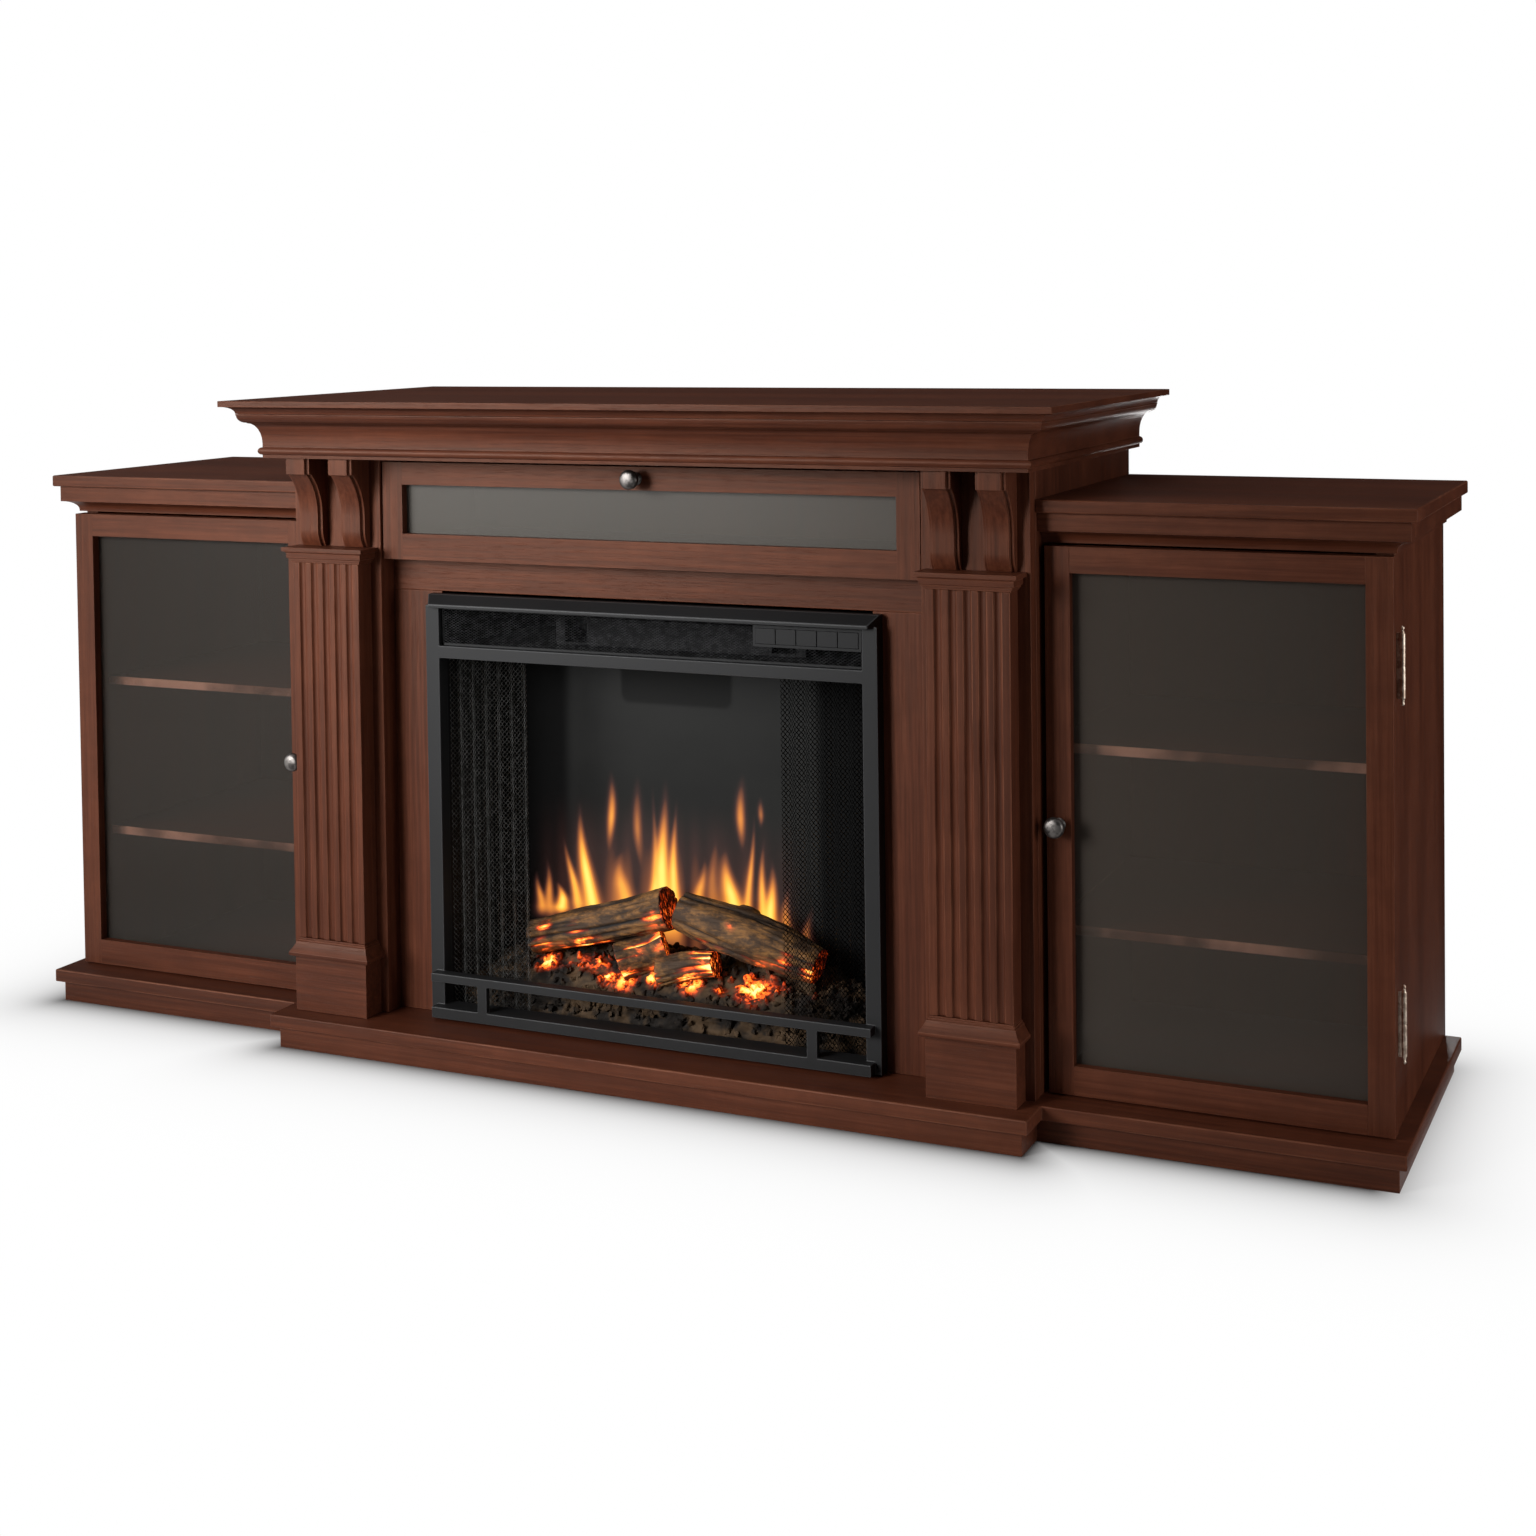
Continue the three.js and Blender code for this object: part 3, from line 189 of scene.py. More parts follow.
print("What a socket can do:", [name for name in vars(Socket) if not name.startswith("_")])

# %% [markdown]
# A tree is a list of nodes and a list of links. `Graph.node` adds a node and links it in the same
# call, so a pattern reads from its first noise to its last colour. A colour ramp is the one
# setting that is no plain value, so its stops are set apart.

# %% Wrap a graph
class Graph:
    """A node tree with one method that makes any node."""

    def __init__(self, tree):
        self.tree = tree

    def node(self, kind, settings=None, sockets=None, out=0):
        made = self.tree.nodes.new(kind)
        for name, value in (settings or {}).items():
            if name == "stops":
                self.set_stops(made.color_ramp, value)
            else:
                setattr(made, name, value)
        for key, value in (sockets or {}).items():
            if isinstance(value, Socket):
                self.tree.links.new(value.plug, made.inputs[key])
            else:
                made.inputs[key].default_value = value
        return Socket(self, made.outputs[out]) if len(made.outputs) else made

    @staticmethod
    def set_stops(ramp, stops):
        while len(ramp.elements) < len(stops):
            ramp.elements.new(1)
        for element, (place, color) in zip(ramp.elements, stops):
            element.position = place
            element.color = (*color, 1)

    def mix(self, share, first, second):
        """A colour that lies between two others."""
        def paint(color):
            return color if isinstance(color, Socket) else (*color, 1)
        return self.node(
            "ShaderNodeMix", {"data_type": "RGBA", "blend_type": "MIX"},
            {0: share, 6: paint(first), 7: paint(second)}, out=2,
        )


print("What a graph can do:", [name for name in vars(Graph) if not name.startswith("_")])

# %% [markdown]
# ## A finish
# Each material is one `Finish`: a Principled shader whose constant values sit on its own sockets,
# and whose colour, roughness and bump may come from a pattern. The pattern reads Object
# coordinates, so it stays on a door when the door swings. `Finish.noise` stretches a noise by
# giving each axis its own scale, which is how grain gets longer along a board than across it.

# %% Describe a finish
class Finish(Graph):
    """A material made of one Principled shader and the pattern that feeds it."""

    def __init__(self, name, **constants):
        self.material = bpy.data.materials.new(name)
        self.material.use_nodes = True
        super().__init__(self.material.node_tree)
        self.shader = next(n for n in self.tree.nodes if n.type == "BSDF_PRINCIPLED")
        for key, value in constants.items():
            self.feed(key.replace("_", " "), value)
        self.place = self.node("ShaderNodeTexCoord", out="Object")

    def feed(self, name, value):
        plug = self.shader.inputs[name]
        if isinstance(value, Socket):
            self.tree.links.new(value.plug, plug)
        elif isinstance(value, tuple) and len(value) == 3:
            plug.default_value = (*value, 1)
        else:
            plug.default_value = value

    def stretched(self, scale, shift):
        return self.node(
            "ShaderNodeMapping", {"vector_type": "POINT"},
            {"Vector": self.place, "Location": shift, "Scale": scale},
        )

    def noise(self, waves, detail=2, rough=0.5, shift=(0, 0, 0)):
        """A noise with so many waves per metre: one number, or one for each axis."""
        scale = waves if isinstance(waves, tuple) else (waves, waves, waves)
        return self.node("ShaderNodeTexNoise", {"noise_dimensions": "3D"}, {
            "Vector": self.stretched(scale, shift), "Scale": 1, "Detail": detail,
            "Roughness": rough})

    def vector(self, operation, first, second=None, out=0):
        terms = {0: first} if second is None else {0: first, 1: second}
        return self.node("ShaderNodeVectorMath", {"operation": operation}, terms, out=out)

    def beyond_box(self, centre, half):
        """How far a point lies outside a box round a centre, 0 inside it."""
        gap = self.vector("ABSOLUTE", self.vector("SUBTRACT", self.place, centre))
        gap = self.vector("MAXIMUM", self.vector("SUBTRACT", gap, half), (0, 0, 0))
        return self.vector("LENGTH", gap, out="Value")

    def bump(self, height, depth, strength):
        self.feed("Normal", self.node(
            "ShaderNodeBump", {}, {"Height": height, "Distance": depth, "Strength": strength}))


print("What a finish can do:", [name for name in vars(Finish) if not name.startswith("_")])

# %% [markdown]
# ## The stained wood
# The real finish is a red-brown stain under a satin varnish. Three things make it read as wood:
# long soft bands where the stain took differently, fine streaks along the grain, and short dark
# pores. All three are noises stretched along the board. A second, paler finish goes on the narrow
# rounded edges: partly wear, where the stain rubs thin, and partly a painted highlight, where the
# light catches them. A third one on the front edges of the shelves is a painted highlight, which
# makes them show as light lines behind the dark panes.

# %% Mix the wood finishes
STAIN_DARK = (0.047, 0.0120, 0.0058)
STAIN_MID = (0.088, 0.0235, 0.0108)
STAIN_LIGHT = (0.127, 0.0375, 0.0180)
# The edge colour is partly wear and partly a painted highlight.
WORN_AND_HIGHLIT_EDGE_COLOR, HIGHLIGHT_AND_WEAR_ON_EDGES = (0.24, 0.090, 0.050), 0.55
# The front edges of the shelves take a much paler tint: a painted highlight.
LIP_HIGHLIGHT_COLOR, LIP_HIGHLIGHT_SHARE = (0.76, 0.36, 0.24), 1.7
BANDS, STREAKS, PORES = (0.9, 11), (5, 230), (38, 1900)  # waves a metre: along, across
MOTTLING = 26
PORE_DEPTH = 0.18 * MM


def along_grain(grain, along, across_it):
    """Waves per metre for the three axes: few along the grain, many across it."""
    return tuple(along if axis == grain else across_it for axis in "xyz")


def stained_wood(name, grain, highlight_and_wear_share=0.0, tint=WORN_AND_HIGHLIT_EDGE_COLOR):
    """Wood whose grain runs along one axis. highlight_and_wear_share is the share of a paler tint
    that shows: a painted highlight, on edges together with wear.
    """
    finish = Finish(name, Specular_IOR_Level=0.20, Specular_Tint=(1.0, 0.80, 0.66))
    bands = finish.noise(along_grain(grain, *BANDS), 3, 0.55)
    streaks = finish.noise(along_grain(grain, *STREAKS), 4, 0.6, (3.1, 1.7, 0.4))
    pores = finish.noise(along_grain(grain, *PORES), 2, 0.5, (0.3, 2.2, 5.1))
    tone = (bands * 0.45 + streaks * 0.55).between(0.32, 0.70)
    mottled = finish.noise(MOTTLING, 4, 0.6, (0.7, 4.4, 1.9)).between(0.35, 0.68)
    stain = {"stops": [(0, STAIN_DARK), (0.5, STAIN_MID), (1, STAIN_LIGHT)]}
    base = finish.node("ShaderNodeValToRGB", stain, {0: tone})
    dark_pores = 1 - pores.between(0.30, 0.43)
    base = finish.mix((dark_pores * 0.5).larger(0.30 - 0.30 * mottled), base, STAIN_DARK)
    if highlight_and_wear_share:
        # Patches of the paler tint: on edges wear and a painted highlight, on shelf fronts a
        # painted highlight.
        highlight_and_wear_patches = finish.noise(7, 3, 0.6).between(0.35, 0.7) * highlight_and_wear_share
        base = finish.mix(highlight_and_wear_patches, base, tint)
    finish.feed("Base Color", base)
    finish.feed("Roughness", 0.40 + 0.14 * streaks)
    finish.bump(streaks - dark_pores * 0.7, PORE_DEPTH, 0.6)
    return finish.material


wood = {grain: stained_wood(f"wood_grain_{grain}", grain) for grain in "xyz"}
edge_highlight_and_wear = {grain: stained_wood(f"wood_edge_{grain}", grain, HIGHLIGHT_AND_WEAR_ON_EDGES) for grain in "xyz"}
shelf_front_highlight = stained_wood("wood_shelf_lip", "x", LIP_HIGHLIGHT_SHARE, LIP_HIGHLIGHT_COLOR)
print("Wood finishes:", len(wood) + len(edge_highlight_and_wear) + 1)

# %% [markdown]
# ## Metals, plastics and glass
# The fireplace's front is sheet steel with a charcoal powder coat, which is matt and has a very
# fine orange-peel texture. The knobs are pewter and the hinges antique brass: both are metals that
# were darkened and then rubbed, so the raised parts are brighter. The curtains share one black
# wire, painted lighter on the left as if lit, and darker on the right as painted shade.
# The panes are smoked glass. Clear glass takes light paths that a plain mesh file can't keep, so
# a pane is a dark, glossy surface that is partly see-through: Alpha lets the shelves show, and the
# gloss mirrors the room. Each of the three has its own haze colour: the smoke of the glass, with a
# painted reflection of the part of the room that it mirrors.

# %% Mix the metals and the glass
PEEL = 900  # waves per metre of the powder coat's orange peel
RUBBING = 160


def coated_steel(name, color, rough):
    finish = Finish(name, Specular_IOR_Level=0.21)
    peel, cloud = finish.noise(PEEL, 2), finish.noise(6, 3)
    thin = tuple(c * 0.8 for c in color)
    finish.feed("Base Color", finish.mix(cloud.between(0.3, 0.7), thin, color))
    finish.feed("Roughness", rough + 0.12 * cloud)
    finish.bump(peel, 0.08 * MM, 0.5)
    return finish.material


def rubbed_metal(name, color, dark, rough):
    finish = Finish(name, Metallic=1.0)
    rub = finish.noise(RUBBING, 4, 0.6)
    finish.feed("Base Color", finish.mix(rub.between(0.38, 0.62), dark, color))
    finish.feed("Roughness", rough + 0.2 * rub)
    finish.bump(rub, 0.1 * MM, 0.4)
    return finish.material


# haze is the pane's colour: the smoke of the glass, plus a painted reflection that differs from
# pane to pane.
def pane_with_painted_reflection(name, haze, clear):
    finish = Finish(name, Base_Color=haze, Roughness=0.22, Specular_IOR_Level=0.12)
    finish.feed("Alpha", 1 - clear + 0.04 * finish.noise(3, 3))
    return finish.material


frame_steel = coated_steel("charcoal_powder_coat", (0.0125, 0.0125, 0.0130), 0.45)
# A paler charcoal for the rounded edges of the steel front: a painted highlight.
steel_edge_highlight = coated_steel("charcoal_edge", (0.042, 0.042, 0.043), 0.40)
shell_steel = coated_steel("firebox_black", (0.012, 0.012, 0.013), 0.6)
button_plastic = coated_steel("button_plastic", (0.0085, 0.0085, 0.009), 0.5)
pewter = rubbed_metal("pewter", (0.19, 0.175, 0.165), (0.075, 0.068, 0.064), 0.36)
brass = rubbed_metal("antique_brass", (0.98, 0.84, 0.70), (0.62, 0.46, 0.35), 0.42)
steel = rubbed_metal("bright_steel", (0.62, 0.62, 0.63), (0.42, 0.42, 0.44), 0.24)
grille_wire = rubbed_metal("grille_wire", (0.18, 0.18, 0.184), (0.07, 0.07, 0.072), 0.4)
# One black wire in two copies: the left one painted lit, the right one painted in shade.
lit_and_shaded_wire = {
    "left": rubbed_metal("lit_black_wire", (0.15, 0.15, 0.145), (0.065, 0.065, 0.06), 0.36),
    "right": rubbed_metal("shaded_black_wire", (0.01, 0.01, 0.01), (0.002, 0.002, 0.002), 0.30)}
pane_finish = {
    "door_glass_left": pane_with_painted_reflection("smoked_glass_left", (0.068, 0.059, 0.051), 0.70),
    "door_glass_right": pane_with_painted_reflection("smoked_glass_right", (0.108, 0.089, 0.074), 0.70),
    "flap_glass": pane_with_painted_reflection("smoked_glass_flap", (0.145, 0.133, 0.117), 0.60)}
print("Finishes for panes:", len(pane_finish), "and for curtain wire:", len(lit_and_shaded_wire))

# %% [markdown]
# ## From a CAD node to a finished board
# A CAD solid has perfectly sharp edges, which no real board has. A light falls on a rounded edge
# as a thin bright line, and that line is most of what makes furniture look real. Each board is a
# copy of its CAD node whose loose triangles are merged into whole faces, because a Bevel modifier
# needs whole faces to round the edges between them.

# %% Copy CAD nodes
MERGE_WITHIN = 0.02 * MM
SAME_FACE = math.radians(1)


def merged_copy(node, whole=True):
    """A closed copy of a CAD node's mesh. When whole, its flat faces are made whole again."""
    shell = bmesh.new()
    shell.from_mesh(frame["nodes"][node].data)
    bmesh.ops.remove_doubles(shell, verts=shell.verts, dist=MERGE_WITHIN)
    if whole:
        bmesh.ops.dissolve_limit(
            shell, angle_limit=SAME_FACE, verts=shell.verts, edges=shell.edges)
    for face in shell.faces:
        face.material_index = 0
    return shell


def new_piece(name, shell, materials):
    """An object at the origin that holds a bmesh, with its materials in order."""
    mesh = bpy.data.meshes.new(name)
    shell.to_mesh(mesh)
    shell.free()
    for material in materials:
        mesh.materials.append(material)
    piece = bpy.data.objects.new(name, mesh)
    bpy.context.scene.collection.objects.link(piece)
    return piece


print("Points within", MERGE_WITHIN / MM, "mm become one")

# %% [markdown]
# The edges could be modelled by hand, but a Bevel modifier rounds them all alike and paints the
# new faces with the paler edge finish, which is a painted highlight, on wood together with wear. A
# Weighted Normal modifier then keeps the large faces flat under smooth shading. Both are applied
# at once, so that a piece is a plain mesh.

# %% Round the edges
BEVEL_FROM = math.radians(30)


def settle(piece):
    """Turns a piece and its modifiers into one plain mesh."""
    graph = bpy.context.evaluated_depsgraph_get()
    made = bpy.data.meshes.new_from_object(piece.evaluated_get(graph), depsgraph=graph)
    piece.modifiers.clear()
    plain, piece.data = piece.data, made
    bpy.data.meshes.remove(plain)
    return piece


def round_edges(piece, width, steps=2, edge_slot=-1, sharp=50):
    """Rounds the sharp edges, if a width is given, and shades the piece smoothly up to sharp."""
    for face in piece.data.polygons:
        face.use_smooth = True
    if width:
        bevel = piece.modifiers.new("edges", "BEVEL")
        bevel.limit_method, bevel.angle_limit = "ANGLE", BEVEL_FROM
        bevel.width, bevel.segments, bevel.material = width, steps, edge_slot
        bevel.miter_outer = "MITER_ARC"
        settle(piece)
    piece.data.set_sharp_from_angle(angle=math.radians(sharp))
    weighted = piece.modifiers.new("weights", "WEIGHTED_NORMAL")
    weighted.keep_sharp = True
    return settle(piece)


print("Edges over", round(math.degrees(BEVEL_FROM)), "degrees get rounded")

# %% [markdown]
# A finished piece takes the place of its CAD node and rides on the node's body, so the joints of
# the CAD model move it. One function dresses a single board.

# %% Put boards in their places
def stand_for(piece, body, slot, *nodes):
    """Puts a finished piece in the place of CAD nodes, on their body."""
    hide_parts(*nodes)
    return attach(piece, body)


def triangles(piece):
    return sum(len(face.vertices) - 2 for face in piece.data.polygons)


def board(node, grain, width=0.8 * MM, lip=None):
    """A single board, from its own CAD node. A lip is the finish of its front edge."""
    shell = merged_copy(node)
    if lip:
        for face in shell.faces:
            face.material_index = int(face.normal.y < -0.9)
    piece = new_piece(f"{node}_board", shell, [wood[grain], lip or edge_highlight_and_wear[grain]])
    round_edges(piece, width, 2, 1)
    return stand_for(piece, "console", "dark_wood", node)


print("CAD nodes to dress:", len(frame["nodes"]))

# %% [markdown]
# ## Carcass, tops and mouldings
# The boards that make up the cabinet come first. The grain of a shelf or a top runs across the
# room, and that of a post or a side runs up. Mouldings such as the crown have steps of less than
# a millimetre, so their edges are only just broken.

# %% Dress the carcass
UPRIGHT = ["front_post", "centre_side", "cabinet_side", "pilaster_shaft"]
SHELVES = ["lower_shelf", "upper_shelf"]
CORBELS = ["inner_corbel", "outer_corbel"]
FINE_MOULDINGS = ["cabinet_apron", "pilaster_cap", "pilaster_foot"]
carcass = []
for side in ("left", "right"):
    carcass += [board(f"{name}_{side}", "z") for name in UPRIGHT]
    carcass += [board(f"{name}_{side}", "x", lip=shelf_front_highlight) for name in SHELVES]
    carcass += [board(f"{name}_{side}", "z", 0.5 * MM) for name in CORBELS]
    carcass += [board(f"{name}_{side}", "x", 0.3 * MM) for name in FINE_MOULDINGS]
    carcass.append(board(f"cabinet_top_{side}", "x", 0.6 * MM))
carcass.append(board("centre_top", "x", 0.4 * MM))
carcass.append(board("crown_and_header", "x", 0.25 * MM))
carcass.append(board("media_shelf", "x"))
carcass.append(board("base_board", "x", 1.6 * MM))
carcass.append(board("plinth", "x"))
print("Boards:", len(carcass))

# %% [markdown]
# ## Frames made of stiles and rails
# A door is not cut from one board. Two upright stiles run its full height, and the rails are
# fitted between them, so the grain turns at each joint and a hairline shows there. The CAD door is
# one solid with the rebate for its pane already in it. Cutting copies of it along the joint lines
# gives the real boards, rebate included, and rounding the cut edges draws the hairlines. The
# frame round the firebox is built the other way: its rail lies across the tops of its stiles.

# %% Cut frames along their joints
def clipped(shell, axis, limit, keep_above):
    """Cuts a mesh at a plane across one axis, keeps one side and closes the cut."""
    normal = Vector((0, 0, 0))
    normal[axis] = 1
    cut = bmesh.ops.bisect_plane(
        shell, geom=shell.verts[:] + shell.edges[:] + shell.faces[:], dist=1e-7,
        plane_co=normal * limit, plane_no=normal,
        clear_inner=keep_above, clear_outer=not keep_above)
    rim = [e for e in cut["geom_cut"] if isinstance(e, bmesh.types.BMEdge) and e.is_boundary]
    bmesh.ops.contextual_create(shell, geom=rim)


def joint_planes(x_joints, z_joints, rail_over_stiles):
    """For each board its grain and the planes that cut it out: axis, limit, keep above."""
    (left, right), (bottom, top) = x_joints, z_joints
    if rail_over_stiles:
        return [("z", [(0, left, False), (2, top, False)]),
                ("z", [(0, right, True), (2, top, False)]),
                ("x", [(2, top, True)])]
    between = [(0, left, True), (0, right, False)]
    return [("z", [(0, left, False)]), ("z", [(0, right, True)]),
            ("x", [*between, (2, bottom, False)]), ("x", [*between, (2, top, True)])]


def split_frame(node, x_joints, z_joints, body, rail_over_stiles=False, width=0.9 * MM):
    """Stiles and rails of one frame, cut from copies of its CAD solid at the joint lines."""
    whole = bmesh.new()
    for grain, planes in joint_planes(x_joints, z_joints, rail_over_stiles):
        part = merged_copy(node)
        for plane in planes:
            clipped(part, *plane)
        for face in part.faces:
            face.material_index = 0 if grain == "z" else 1
        mesh = bpy.data.meshes.new("part")
        part.to_mesh(mesh)
        part.free()
        whole.from_mesh(mesh)
        bpy.data.meshes.remove(mesh)
    piece = new_piece(f"{node}_boards", whole, [wood["z"], wood["x"], edge_highlight_and_wear["z"]])
    round_edges(piece, width, 2, 2)
    return stand_for(piece, body, "dark_wood", node)


print("Boards in a door:", len(joint_planes((0, 1), (0, 1), False)),
      "and in the surround:", len(joint_planes((0, 1), (0, 1), True)))

# %% [markdown]
# The joint lines follow from the widths of the stiles and rails, measured in from the frame's
# edges.

# %% Build the doors and the surround
DOOR_STILE, DOOR_LOW_RAIL, DOOR_TOP_RAIL = 27 * MM, 31 * MM, 28 * MM
SURROUND_STILE, SURROUND_RAIL = 66.7 * MM, 38 * MM
for side in ("left", "right"):
    low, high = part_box(f"door_frame_{side}")
    split_frame(f"door_frame_{side}", (low.x + DOOR_STILE, high.x - DOOR_STILE),
                (low.z + DOOR_LOW_RAIL, high.z - DOOR_TOP_RAIL), f"{side}_door", width=1.3 * MM)
print("Door height:", round(high.z - low.z, 4))
low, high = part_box("surround_frame")
split_frame("surround_frame", (low.x + SURROUND_STILE, high.x - SURROUND_STILE),
            (0, high.z - SURROUND_RAIL), "console", rail_over_stiles=True)
print("Surround width:", round(high.x - low.x, 4))

# %% [markdown]
# The flap's CAD solid also holds the two pivot pins, which stick out past the frame's ends. So
# its joint lines are measured from the frame's own half width and not from the solid's box.

# %% Build the flap
FLAP_HALF, FLAP_STILE, FLAP_LOW_RAIL, FLAP_TOP_RAIL = 339 * MM, 27 * MM, 30.5 * MM, 26.5 * MM
low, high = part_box("flap_frame")
flap_joint = FLAP_HALF - FLAP_STILE
split_frame("flap_frame", (-flap_joint, flap_joint),
            (low.z + FLAP_LOW_RAIL, high.z - FLAP_TOP_RAIL), "flap")
print("Flap with its pins:", round(high.x - low.x, 4))

# %% [markdown]
# ## Turned knobs
# A knob is turned on a lathe, so a profile that runs round an axis makes it. `turned` takes points
# of radius and distance along the axis. A Screw modifier could turn a profile too. Here the points
# are made directly, so a radius of 0 becomes one point, and a fan of triangles closes that end.

# %% Build a lathe
def turned(profile, origin, axis, steps=40):
    """A closed lathe shape: profile holds (radius, distance along axis), end to end."""
    axis = Vector(axis).normalized()
    side = axis.orthogonal().normalized()
    other = axis.cross(side)
    shell = bmesh.new()
    rings = []
    for radius, along in profile:
        centre = Vector(origin) + axis * along
        if radius < 1e-7:
            rings.append([shell.verts.new(centre)])
            continue
        turns = (2 * math.pi * i / steps for i in range(steps))
        spokes = (side * math.cos(t) + other * math.sin(t) for t in turns)
        rings.append([shell.verts.new(centre + spoke * radius) for spoke in spokes])
    for first, second in zip(rings, rings[1:]):
        for i in range(steps):
            j = (i + 1) % steps
            corners = [first[i % len(first)], first[j % len(first)],
                       second[j % len(second)], second[i % len(second)]]
            shell.faces.new(list(dict.fromkeys(corners)))
    bmesh.ops.recalc_face_normals(shell, faces=shell.faces)
    return shell


trial = turned([(0, 0), (1, 0), (1, 1), (0, 1)], (0, 0, 0), (0, 0, 1), 12)
print("A cylinder of 12 steps has", len(trial.faces), "faces")
trial.free()

# %% [markdown]
# The profile of the knobs is a share of their radius and length: a flared rosette, a slim neck and
# a domed head. A dozen points describe it, and a smooth curve through them gives the others.

# %% Turn the knobs
def curve_value(before, start, end, after, t):
    """A Catmull-Rom curve, which passes from start to end without a corner at either."""
    return 0.5 * (2 * start + (end - before) * t
                  + (2 * before - 5 * start + 4 * end - after) * t * t
                  + (3 * start - before - 3 * end + after) * t ** 3)


def smooth_profile(points, parts=5):
    """More points on a curve through a coarse profile, so that the turning has no flats."""
    ends = [points[0], *points, points[-1]]
    made = [tuple(curve_value(*values, k / parts) for values in zip(*four))
            for four in zip(ends, ends[1:], ends[2:], ends[3:]) for k in range(parts)]
    return [*made, points[-1]]


KNOB_PROFILE = smooth_profile([
    (0.63, 0), (0.66, 0.05), (0.50, 0.12), (0.38, 0.24), (0.38, 0.40), (0.55, 0.50),
    (0.90, 0.59), (0.985, 0.70), (0.96, 0.82), (0.78, 0.93), (0.42, 0.985), (0.10, 1.0)])


def knob(node, body):
    low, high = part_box(node)
    radius, length = (high.x - low.x) / 2, high.y - low.y
    back = ((low.x + high.x) / 2, high.y, (low.z + high.z) / 2)
    profile = [(max(r, 0.02) * radius, h * length) for r, h in KNOB_PROFILE]
    shell = turned([(0, 0), *profile, (0, length)], back, (0, -1, 0), 48)
    piece = new_piece(f"{node}_turned", shell, [pewter])
    round_edges(piece, 0)
    return stand_for(piece, body, "pewter", node)


KNOB_BODIES = {
    "door_knob_left": "left_door", "door_knob_right": "right_door", "flap_knob": "flap"}
for node, body in KNOB_BODIES.items():
    knob(node, body)
print("Knob profile:", len(KNOB_PROFILE), "points")

# %% [markdown]
# ## Hinges
# The door hinges show as a slim barrel in two halves, with a small ball at either end. The barrel
# is one more turned profile: a finial, two knuckles with a groove at each end, and the finial
# again, mirrored. A flat leaf joins it to the cabinet. The visible barrel is slimmer than the CAD
# solid that it replaces.

# %% Make the hinges
KNUCKLES = 2
BARREL_SHARE = 0.62  # the visible barrel's radius over that of the CAD solid
FINIAL = 7 * MM
LEAF_WIDTH, LEAF_THICKNESS = 22 * MM, 0.6 * MM
FINIAL_PROFILE = [(0, 1), (0.30, 0.97), (0.58, 0.86), (0.74, 0.68), (0.58, 0.48), (0.42, 0.38),
                  (0.66, 0.26), (0.62, 0.10)]  # share of the radius, share of the finial's height
KNUCKLE_PROFILE = [(0.80, 0.01), (1.0, 0.03), (1.0, 0.97), (0.80, 0.99)]


def add_box(shell, size, centre):
    """Adds a rectangular bar to a bmesh."""
    bar = bmesh.ops.create_cube(shell, size=1)["verts"]
    bmesh.ops.scale(shell, verts=bar, vec=size)
    bmesh.ops.translate(shell, verts=bar, vec=centre)


def hinge(node):
    """Knuckles, pin and finials on the hinge's axis, with the leaf behind them."""
    low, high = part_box(node)
    outward = 1 if high.x > 0 else -1
    radius = (high.y - low.y) / 2
    axis_x = (high.x if outward > 0 else low.x) - outward * radius
    axis_y, axis_z = (low.y + high.y) / 2, (low.z + high.z) / 2
    half = (high.z - low.z) / 2 - FINIAL
    knuckle = 2 * half / KNUCKLES
    foot = [(r, -half - h * FINIAL) for r, h in FINIAL_PROFILE]
    barrel = [(r, -half + (i + h) * knuckle) for i in range(KNUCKLES) for r, h in KNUCKLE_PROFILE]
    profile = foot + barrel + [(r, -z) for r, z in reversed(foot)]
    shell = turned([(r * radius * BARREL_SHARE, z) for r, z in profile],
                   (axis_x, axis_y, axis_z), (0, 0, 1), 24)
    add_box(shell, (LEAF_WIDTH, LEAF_THICKNESS, 2 * half),
            (axis_x - outward * LEAF_WIDTH / 2, axis_y, axis_z))
    piece = new_piece(f"{node}_knuckles", shell, [brass])
    round_edges(piece, 0, sharp=40)
    return stand_for(piece, "console", "antique_brass", node)


for side in ("left", "right"):
    hinge(f"lower_hinge_{side}")
    hinge(f"upper_hinge_{side}")
print("Knuckles on each hinge:", KNUCKLES)

# %% [markdown]
# ## Panes
# The panes are flat sheets, so the CAD shape is right as it is. Only their finish changes: the
# node's material slot takes the smoked glass.

# %% Give CAD nodes their finish
def refinish(node, material):
    for slot in frame["nodes"][node].material_slots:
        slot.material = material


for node, finish in pane_finish.items():
    refinish(node, finish)
print("Panes:", len(pane_finish))

# %% [markdown]
# ## Trees that repeat a shape
# Screws, bristles, wire loops and coals are each one small shape repeated many times, which is
# what Geometry Nodes are for. `RepeatTree` starts such a tree with its named inputs and ends it
# with Realize Instances and Set Material. `grow` runs a tree on a mesh. It sets the inputs by the
# identifiers of their sockets before anything is evaluated, and then keeps only the plain result.

